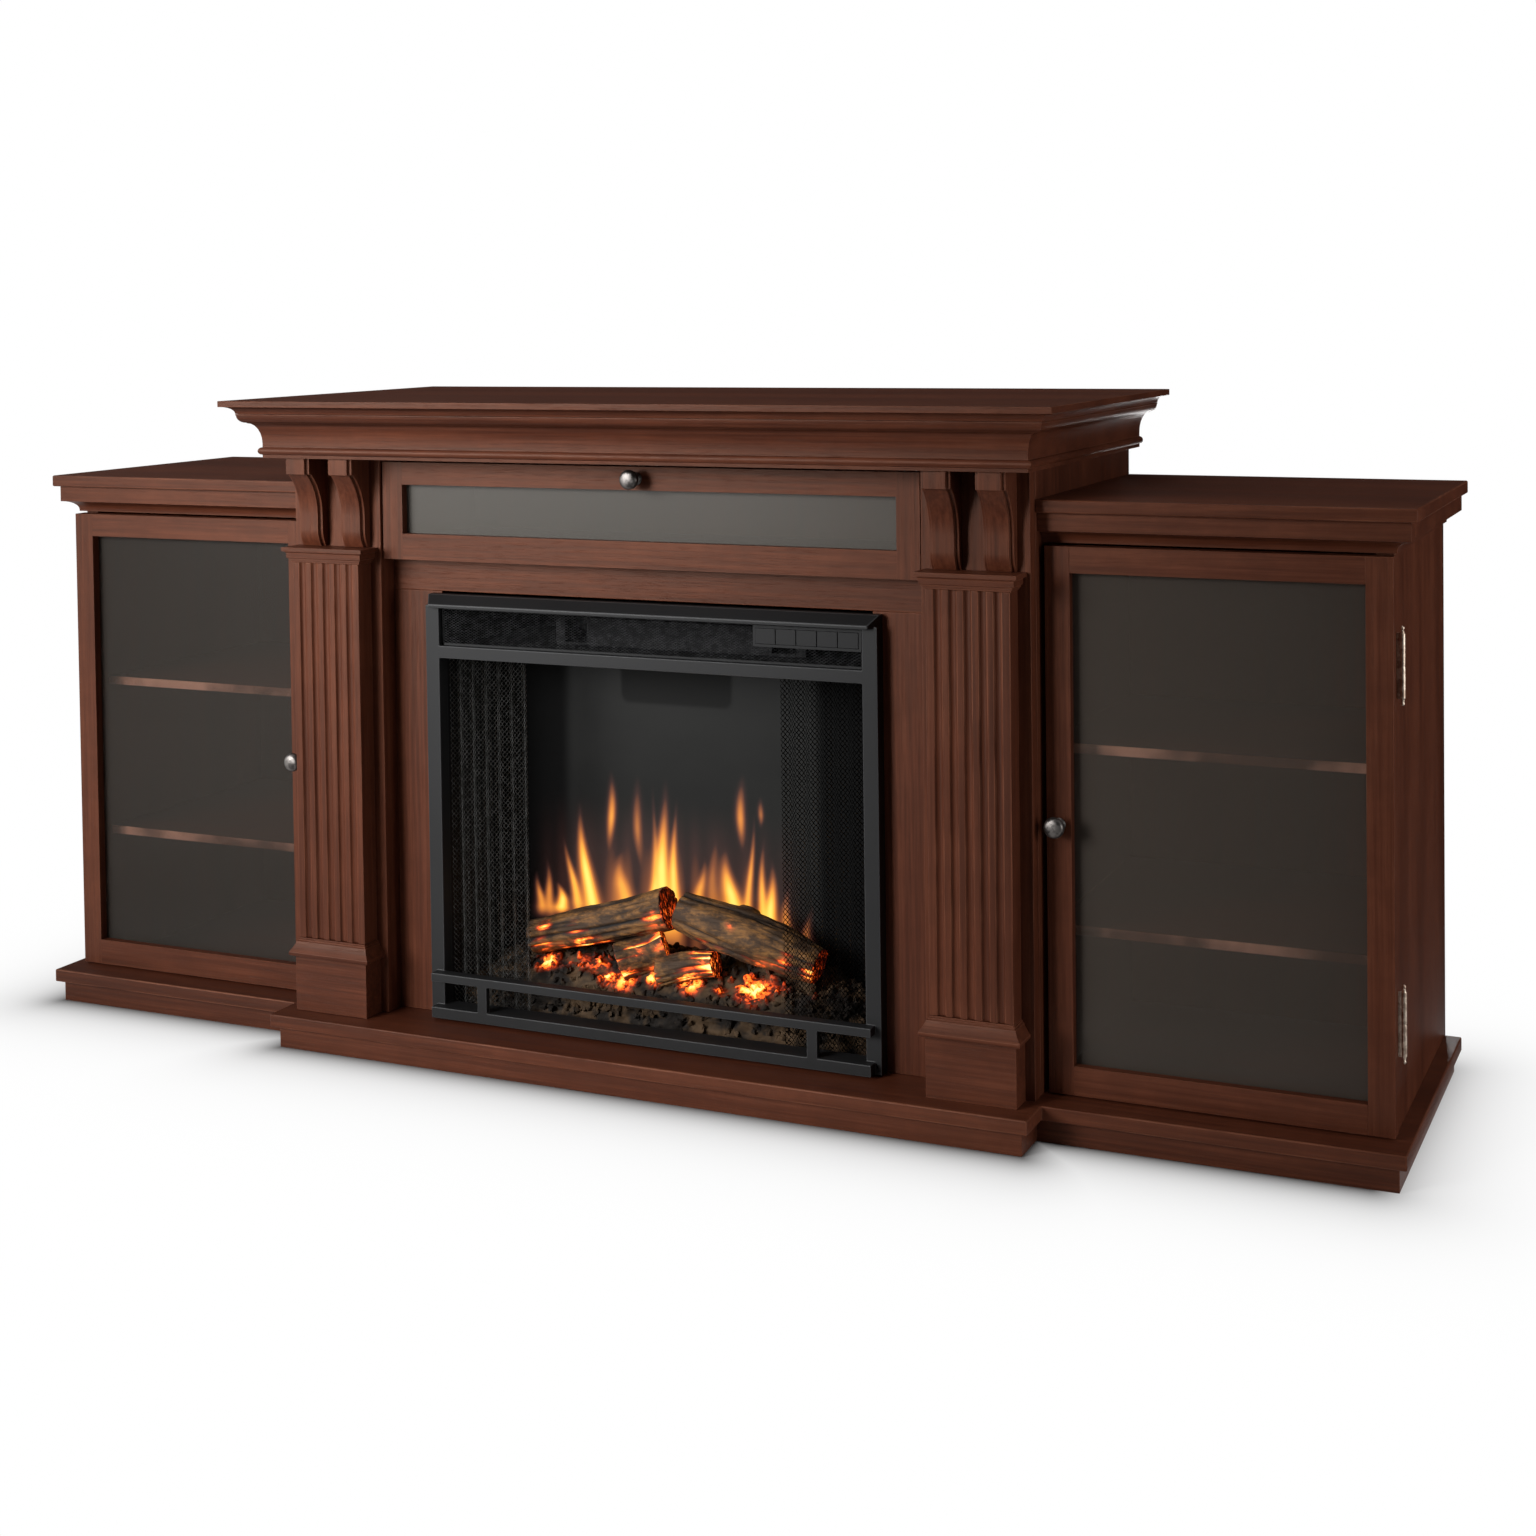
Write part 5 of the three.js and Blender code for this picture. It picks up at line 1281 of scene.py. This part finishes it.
def log(shell, start, end, radii, seed, knot=None, belly=0.0, rings=110, sides=84):
    """Adds one log to a bmesh that has a furrow layer. Lengths are in millimetres."""
    furrow = shell.verts.layers.float["furrow"]
    start, end = Vector(start) * MM, Vector(end) * MM
    along = end - start
    length, axis = along.length, along.normalized()
    side = axis.cross(straight_up).normalized()
    up = side.cross(axis)
    made = []
    for i in range(rings + 1):
        share = i / rings
        centre = start + along * share
        centre += (up * SWAY_UP * MM * math.sin(share * 5 + seed)
                   + side * SWAY_ASIDE * MM * math.cos(share * 4 + seed))
        radius = radii[0] + (radii[1] - radii[0]) * share
        base = (radius + belly * math.sin(math.pi * share)) * MM
        ring = []
        for j in range(sides):
            turn = 2 * math.pi * j / sides
            swell, depth = bark_relief(turn, share, length, base, seed, knot)
            spoke = side * math.cos(turn) + up * math.sin(turn)
            point = shell.verts.new(centre + spoke * (base * swell))
            point[furrow] = depth
            ring.append(point)
        made.append(ring)
    for first, second in zip(made, made[1:]):
        for j in range(sides):
            k = (j + 1) % sides
            shell.faces.new((first[j], first[k], second[k], second[j])).smooth = True
    saw_off(shell, made[0], -axis, seed)
    saw_off(shell, made[-1], axis, seed)


shell = bmesh.new()
shell.verts.layers.float.new("furrow")
log(shell, (-184, -72, 127), (-5, -71, 180), (20, 24.5), 1.3)
log(shell, (10, -70, 180), (182, -70, 132), (22, 20.5), 4.7, (2.4, 0.42, 10), belly=6.5)
log(shell, (-60, -91, 115), (-12, -68, 134), (22, 22.5), 7.9, rings=60, sides=72)
log(shell, (-8, -89, 111), (60, -86, 126), (18, 15.5), 11.2, rings=60, sides=72)
bmesh.ops.recalc_face_normals(shell, faces=shell.faces)
logs = new_piece("logs", shell, [bark, log_end])
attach(logs, "console")
print("Log triangles:", triangles(logs))

# %% [markdown]
# ## The bed of coals
# Under the logs lies a cast bed of coals that rises to the back. Its ground is a grid raised by
# noise, with a rough wall along its front, and flat sides and a flat back.

# %% Raise the bed
BED_X, BED_FRONT, BED_BACK, BED_FLOOR = 0.258, -0.1095, -0.0295, 0.0448
BED_RISE, BED_SLOPE, BED_ROUGHNESS = 36 * MM, 43 * MM, 6 * MM
BED_COLUMNS, BED_ROWS, WALL_ROWS = 150, 26, 12


def bed_height(x, share):
    """The height of the ground, share being how far back it is."""
    fall = 1 - 0.45 * abs(x / BED_X) ** 4
    rough = BED_ROUGHNESS * noise.fractal(Vector((x * 45, share * 5, 2.0)), 0.8, 2.0, 4)
    return BED_FLOOR + (BED_RISE + BED_SLOPE * math.sqrt(share)) * fall + rough


def front_wall(x, share):
    """A point of the bed's rough front, share being how far up it is."""
    z = BED_FLOOR + (bed_height(x, 0) - BED_FLOOR) * share
    dent = abs(noise.fractal(Vector((x * 70, z * 90, 5.0)), 0.8, 2.0, 4))
    depth = min(8 * MM, 9 * MM * dent) * math.sin(math.pi * share) ** 0.3
    return x, BED_FRONT + depth, z


shell = bmesh.new()
lines = []
for i in range(BED_COLUMNS + 1):
    x = -BED_X + 2 * BED_X * i / BED_COLUMNS
    line = [shell.verts.new(front_wall(x, k / WALL_ROWS)) for k in range(WALL_ROWS)]
    for j in range(BED_ROWS + 1):
        share = j / BED_ROWS
        y = BED_FRONT + share * (BED_BACK - BED_FRONT)
        line.append(shell.verts.new((x, y, bed_height(x, share))))
    line.append(shell.verts.new((x, BED_BACK, BED_FLOOR)))
    lines.append(line)
for first, second in zip(lines, lines[1:]):
    for j in range(len(first)):
        k = (j + 1) % len(first)
        shell.faces.new((first[j], second[j], second[k], first[k])).smooth = True
shell.faces.new(lines[0])
shell.faces.new(list(reversed(lines[-1])))
bmesh.ops.recalc_face_normals(shell, faces=shell.faces)
bed = new_piece("ember_bed", shell, [coal])
stand_for(bed, "console", "charred_resin", "log_and_ember_set")
print("Bed height at its back:", round(bed_height(0, 1), 4))

# %% [markdown]
# The loose-looking coals are one rough stone scattered over the bed with a fixed seed: Geometry
# Nodes spread the points, turn and scale each stone at random, and then push every vertex by a
# noise, so that no two stones keep the same shape. Stones that would stick out past the bed's
# sides, back or floor, or far past its front, are flattened there.

# %% Scatter the coals
COALS = {"Number per square metre": 8500.0, "Coal size": 5.2 * MM, "Seed": 7}
LOWEST_COAL, FRONT_SPARE = 12 * MM, 3.5 * MM
coal_tree = RepeatTree("scattered_coals", COALS)
seed = coal_tree.given("Seed")
place = coal_tree.node("GeometryNodeInputPosition")
height = coal_tree.node("ShaderNodeSeparateXYZ", {}, {0: place}, out=2)
spread = coal_tree.node(
    "GeometryNodeDistributePointsOnFaces", {"distribute_method": "RANDOM"}, {
        "Mesh": coal_tree.given("Geometry"), "Seed": seed,
        "Density": coal_tree.given("Number per square metre"),
        "Selection": height.math("GREATER_THAN", height, BED_FLOOR + LOWEST_COAL)})
stone = coal_tree.node("GeometryNodeMeshIcoSphere", {}, {
    "Radius": coal_tree.given("Coal size"), "Subdivisions": 2})
turn = coal_tree.node("FunctionNodeRandomValue", {"data_type": "FLOAT_VECTOR"}, {
    0: (0.0, 0.0, 0.0), 1: (6.28, 6.28, 6.28), "Seed": seed})
size = coal_tree.node("FunctionNodeRandomValue", {"data_type": "FLOAT_VECTOR"}, {
    0: (0.55, 0.45, 0.35), 1: (1.5, 1.1, 0.9), "Seed": seed + 1})
scattered = coal_tree.node("GeometryNodeInstanceOnPoints", {}, {
    "Points": spread, "Instance": stone, "Rotation": turn, "Scale": size})
stones = coal_tree.node("GeometryNodeRealizeInstances", {}, {"Geometry": scattered})
lumpy = coal_tree.node("ShaderNodeTexNoise", {"noise_dimensions": "3D"}, {
    "Vector": coal_tree.node("GeometryNodeInputPosition"), "Scale": 190.0, "Detail": 2.0},
    out="Color")
centred = coal_tree.node(
    "ShaderNodeVectorMath", {"operation": "SUBTRACT"}, {0: lumpy, 1: (0.5, 0.5, 0.5)})
push = coal_tree.node(
    "ShaderNodeVectorMath", {"operation": "SCALE"}, {0: centred, "Scale": 9 * MM})
coal_tree.close(coal_tree.node(
    "GeometryNodeSetPosition", {}, {"Geometry": stones, "Offset": push}), coal)

coals = grow("coals", bed.data.copy(), coal_tree, COALS)
for vertex in coals.data.vertices:
    vertex.co.y = max(BED_FRONT - FRONT_SPARE, min(BED_BACK, vertex.co.y))
    vertex.co.z = max(BED_FLOOR, vertex.co.z)
    vertex.co.x = max(-BED_X, min(BED_X, vertex.co.x))
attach(coals, "console")
print("Coal triangles:", triangles(coals))

# %% [markdown]
# ## Flames on the screen
# The flames aren't solid. Turning reflectors throw tongues of light on the back of a grey screen,
# so the flames belong to the screen's finish. A tongue is soft and leans, and no stock pattern
# gives that shape, so each one is worked out from its foot, its tip, its half width and its
# brightness. Some tongues float: the light has left the foot and gathers in the middle.

# %% Draw the flames
TONGUES = [  # foot x and z, tip x and z, half width, brightness, and 1 for a floating one
    (-206, 150, -208, 196, 7, 0.55, 0), (-190, 152, -198, 214, 7, 0.50, 0),
    (-176, 152, -180, 186, 9, 0.95, 0), (-156, 160, -170, 243, 7, 0.72, 0),
    (-136, 160, -149, 288, 10, 1.00, 0), (-108, 222, -106, 328, 6.5, 0.62, 1),
    (-92, 165, -91, 236, 13, 0.62, 0), (-66, 205, -72, 326, 7, 0.40, 1),
    (-50, 180, -48, 318, 5.5, 0.40, 0), (-34, 160, -37, 325, 12.5, 1.00, 0),
    (-22, 165, -20, 302, 7.5, 0.86, 0), (-46, 160, -52, 214, 8, 0.85, 0),
    (11, 176, 16, 234, 8, 0.55, 0), (29, 180, 30, 262, 8, 0.26, 0),
    (52, 165, 48, 248, 13.5, 0.95, 0), (65, 236, 69, 336, 7, 0.55, 1),
    (74, 175, 82, 294, 5, 0.60, 0), (89, 268, 93, 310, 4.2, 0.38, 1),
    (90, 160, 96, 264, 6.5, 0.72, 0), (105, 150, 101, 240, 10, 0.95, 0),
    (122, 145, 126, 214, 8, 0.45, 0), (148, 135, 153, 190, 8, 0.35, 0)]


def smooth(value, low, high):
    share = np.clip((value - low) / (high - low), 0, 1)
    return share * share * (3 - 2 * share)


def tongue_light(x, z, x0, z0, x1, z1, half, bright, floating):
    """How brightly one tongue lights points given in millimetres."""
    up = (z - z0) / (z1 - z0)
    held = np.clip(up, -0.4, 1.2)
    risen = np.clip(up, 0, 1)
    middle = x0 + (x1 - x0) * held + half * 0.35 * np.sin(held * 4.2 + x0)
    if floating:
        width = half * np.sqrt(np.clip(np.sin(risen * math.pi), 0.001, 1))
        fade = smooth(up, 0, 0.45) * (1 - smooth(up, 0.42, 1.0))
    else:
        width = half * np.clip(1.35 - 1.12 * risen ** 0.8, 0.14, 2)
        fade = smooth(up, -0.35, 0.05) * (1 - smooth(up, 0.30, 1.0) ** 0.8)
    return bright * fade * np.exp(-((x - middle) / width) ** 2 * 1.5)


def flame_light(x, z):
    """All tongues and the haze at their feet together, from 0 to 1."""
    dark = np.ones_like(x)
    for tongue in TONGUES:
        dark *= 1 - np.clip(tongue_light(x, z, *tongue), 0, 0.98)
    haze = 0.24 * smooth(-np.abs(x + 30), -195, -80) * (1 - smooth(z, 170, 300))
    streaks = 0.5 + 0.5 * np.sin(x * 0.21 + 1.3 * np.sin(x * 0.07))
    return 1 - dark * (1 - haze * (0.5 + 0.5 * streaks))


print("Tongues of flame:", len(TONGUES))

# %% [markdown]
# The screen gets a fine grid of vertices where the flames play, and each vertex a colour. Its
# front is that grid, and a plain back closes it. The colours are kept in an attribute named
# `firelight`, because Cycles keeps the name `flame` for smoke and fire.

# %% Build the screen
FLAME_LEVELS = (0.0, 0.12, 0.30, 0.52, 0.75, 1.0)
FLAME_COLORS = ((0, 0, 0), (0.030, 0.010, 0.008), (0.20, 0.060, 0.022), (0.62, 0.20, 0.035),
                (1.0, 0.46, 0.055), (1.0, 0.78, 0.16))
FLAME_X, FLAME_Z = (-0.222, 0.180), (0.120, 0.345)
STEP_X, STEP_Z, SLACK = 1.5 * MM, 1.6 * MM, 0.1 * MM
low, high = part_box("flame_screen")
dense_x = np.arange(FLAME_X[0], FLAME_X[1] + SLACK, STEP_X)
dense_z = np.arange(FLAME_Z[0], FLAME_Z[1] + SLACK, STEP_Z)
grid_x = np.concatenate([[low.x], dense_x, [high.x]])
grid_z = np.concatenate([[low.z], dense_z, [high.z]])
plane_x, plane_z = np.meshgrid(grid_x, grid_z, indexing="ij")
light = flame_light(plane_x / MM, plane_z / MM)
for line in (light[0], light[-1], light[:, 0], light[:, -1]):
    line[:] = 0
light = light.ravel()
flame_colors = np.stack(
    [np.interp(light, FLAME_LEVELS, band) for band in zip(*FLAME_COLORS)], axis=1)

shell = bmesh.new()
front_points = [[shell.verts.new((x, low.y, z)) for z in grid_z] for x in grid_x]
for first, second in zip(front_points, front_points[1:]):
    for corners in zip(first, second, second[1:], first[1:]):
        shell.faces.new(corners)
rim = [line[0] for line in front_points] + front_points[-1][1:]
rim += [line[-1] for line in reversed(front_points[:-1])] + list(reversed(front_points[0][1:-1]))
back_rim = [shell.verts.new((v.co.x, high.y, v.co.z)) for v in rim]
for i in range(len(rim)):
    j = (i + 1) % len(rim)
    shell.faces.new((rim[j], rim[i], back_rim[i], back_rim[j]))
shell.faces.new(back_rim)
bmesh.ops.recalc_face_normals(shell, faces=shell.faces)
print("Screen vertices:", len(shell.verts), "brightest:", round(float(light.max()), 3))

# %% [markdown]
# The screen itself is cloudy grey. Painted shade makes it darker and less glossy behind the
# curtains, and a painted shadow of the outlet does the same in a rounded patch near its top.

# %% Light the screen
screen_finish = Finish("flame_screen_grey", Specular_IOR_Level=0.12)
screen_cloud = screen_finish.noise((5, 5, 9), 3)
screen_grey = screen_finish.mix(
    screen_cloud.between(0.3, 0.7), (0.0078, 0.0078, 0.0072), (0.0115, 0.0115, 0.0106))
# A painted shadow of the outlet near the top, and painted shade behind the curtains.
beyond_outlet = screen_finish.beyond_box((-0.017, -0.02, 0.458), (0.062, 1, 0.040))
outlet_shadow = 1 - beyond_outlet.between(0.007, 0.015)
curtain_shade = screen_finish.beyond_box((0, 0, 0), (0.152, 1, 1)).between(0, 0.022)
shade = (outlet_shadow * 0.5).larger(curtain_shade * 0.95)
shaded = screen_finish.mix(shade, screen_grey, (0.0035, 0.0035, 0.0035))
screen_finish.feed("Base Color", shaded)
screen_finish.feed("Roughness", 0.42 + 0.5 * shade)
screen_finish.feed("Emission Color", screen_finish.node(
    "ShaderNodeAttribute", {"attribute_name": "firelight"}, out="Color"))
screen_finish.feed("Emission Strength", 1.25)
screen = new_piece("flame_screen_lit", shell, [screen_finish.material])
firelight = screen.data.color_attributes.new("firelight", "FLOAT_COLOR", "POINT")
vertex_colors = np.zeros((len(screen.data.vertices), 4), np.float32)
vertex_colors[:, 3] = 1
vertex_colors[:len(flame_colors), :3] = flame_colors
firelight.data.foreach_set("color", vertex_colors.ravel())
stand_for(screen, "console", "flame_screen", "flame_screen")
print("Lit vertices:", int((light > 0).sum()))

# %% [markdown]
# ## Floor
# The console stands on a plain pale floor that keeps its shadow. Far from the console the floor
# turns as white as the room, so that no horizon shows. It does so for the camera, for mirrors and
# for glass, and stays a plain floor for the light that it throws back. Close to the console its
# colour is darker: a painted shadow, added to the one that the lamps cast.

# %% Lay the floor
PAINTED_SHADOW_GREY, FAR_GREY = (0.20, 0.20, 0.20), (0.86, 0.86, 0.86)
SHADOW_REACH = 54 * MM
FLOOR_HALF, FLOOR_DROP = 14, 0.4 * MM


def shows_background(graph):
    """1 for a ray from the camera, off a mirror or through glass, 0 for one that lights."""
    camera_ray, mirror_ray, glass_ray = (
        graph.node("ShaderNodeLightPath", out=f"Is {kind} Ray")
        for kind in ("Camera", "Glossy", "Transmission"))
    return camera_ray.larger(mirror_ray).larger(glass_ray)


floor_shell = bmesh.new()
bmesh.ops.create_grid(floor_shell, x_segments=1, y_segments=1, size=FLOOR_HALF)
bmesh.ops.translate(floor_shell, verts=floor_shell.verts, vec=(0, 0, -FLOOR_DROP))
floor_finish = Finish("pale_floor", Roughness=0.9, Specular_IOR_Level=0.0)
beside_fireplace = floor_finish.beyond_box((0, 0.016, 0), (0.463, 0.217, 1))
beside_cabinets = floor_finish.beyond_box((-0.014, 0.041, 0), (0.820, 0.192, 1))
reach = beside_fireplace.smaller(beside_cabinets)
far = (1 - reach.fading(SHADOW_REACH)) * shows_background(floor_finish)
# The base colour is grey close to the console, a painted shadow, and pale further out.
floor_finish.feed("Base Color", floor_finish.mix(reach.between(-0.02, 0.07), PAINTED_SHADOW_GREY, FAR_GREY))
white = floor_finish.node("ShaderNodeEmission", {}, {"Color": (1, 1, 1, 1), "Strength": 1.0})
blend = floor_finish.node("ShaderNodeMixShader", {}, {
    0: far, 1: Socket(floor_finish, floor_finish.shader.outputs[0]), 2: white})
output = next(n for n in floor_finish.tree.nodes if n.type == "OUTPUT_MATERIAL")
floor_finish.tree.links.new(blend.plug, output.inputs["Surface"])
floor = new_piece("floor", floor_shell, [floor_finish.material])
floor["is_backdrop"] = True
print("Floor:", 2 * FLOOR_HALF, "m square")

# %% [markdown]
# ## Room and lamps
# The room is white for the camera, for mirrors and for glass, and dim for everything else, so it
# doesn't light the wood flat. Three soft lamps light the console. A large one to the left of the
# camera gives the broad sheen on the faces that look that way, and its narrow spread keeps its
# light off the sides. A second one to the right of the console lights that side, and a third one,
# low behind it, lights its back.

# %% Light the room
ROOM_LIGHT = 0.11
LAMPS = {  # place, the point that it faces, width in metres, power in watts, spread
    "main_lamp": ((-1.30, -2.2, 1.10), (-0.20, 0, 0.46), 1.3, 10.5, 0.85),
    "side_lamp": ((3.0, -0.25, 0.74), (0.7, 0, 0.42), 1.2, 29, math.pi),
    "back_lamp": ((0.0, 3.4, 0.25), (0, 0.2, 0.35), 0.6, 34, math.pi)}
world = bpy.data.worlds.new("room")
bpy.context.scene.world = world
world.use_nodes = True
room = Graph(world.node_tree)
backdrop = next(n for n in world.node_tree.nodes if n.type == "BACKGROUND")
backdrop.inputs["Color"].default_value = (1, 1, 1, 1)
brightness = ROOM_LIGHT + shows_background(room) * (1 - ROOM_LIGHT)
room.tree.links.new(brightness.plug, backdrop.inputs["Strength"])

for name, (place, aim, width, power, spread) in LAMPS.items():
    bulb = bpy.data.lights.new(name, "AREA")
    bulb.size, bulb.energy, bulb.spread = width, power, spread
    lamp = bpy.data.objects.new(name, bulb)
    lamp.location = place
    lamp.rotation_euler = (Vector(aim) - Vector(place)).to_track_quat("-Z", "Y").to_euler()
    lamp.visible_camera = False
    bpy.context.scene.collection.objects.link(lamp)

bpy.context.scene.view_settings.view_transform = "Standard"
print("Lamps:", len(LAMPS))

# %% [markdown]
# ## Black cards
# Varnish is a weak mirror, and seen at a low angle a strong one. With white on every side the tops
# and the right side would turn grey, and in the photograph they stay dark. A photographer stands
# black cards where the varnish must mirror nothing. These cards do the same: only mirror rays see
# them, so they take no light away and never show. Metal and glass still mirror the white room to
# the left, above and in front of the console.

# %% Stand the black cards
CARDS = {  # two opposite corners of each card, in metres; each is flat along one axis
    "card_behind": ((-7.0, 4.6, 0), (7.0, 4.6, 6)),
    "card_right": ((4.6, -4.4, 0), (4.6, 4.6, 6)),
    "card_in_front": ((-1.2, -4.4, 0), (4.6, -4.4, 6)),
    "cloth_in_front": ((-1.2, -4.4, 0.002), (4.6, -0.5, 0.002)),
    "cloth_right": ((0.86, -0.5, 0.002), (4.6, 4.6, 0.002))}
card_black = Finish(
    "black_card", Base_Color=(0.02, 0.02, 0.02), Roughness=0.9, Specular_IOR_Level=0.0)
for name, (start, end) in CARDS.items():
    first, second = (axis for axis in range(3) if start[axis] != end[axis])
    card_shell = bmesh.new()
    corners = []
    for along, up in ((start, start), (end, start), (end, end), (start, end)):
        corner = list(start)
        corner[first], corner[second] = along[first], up[second]
        corners.append(card_shell.verts.new(corner))
    card_shell.faces.new(corners)
    card = new_piece(name, card_shell, [card_black.material])
    card.visible_camera = card.visible_diffuse = False
    card.visible_shadow = card.visible_transmission = False
    card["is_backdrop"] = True
print("Black cards:", len(CARDS))

# %% [markdown]
# ## The finished box
# The looks must not change the size of the object, so the box of the finished pieces is printed
# here, as the CAD box was at the start.

# %% Print the finished box
low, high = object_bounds()
print("Visual box:", [round(v, 4) for v in high - low])
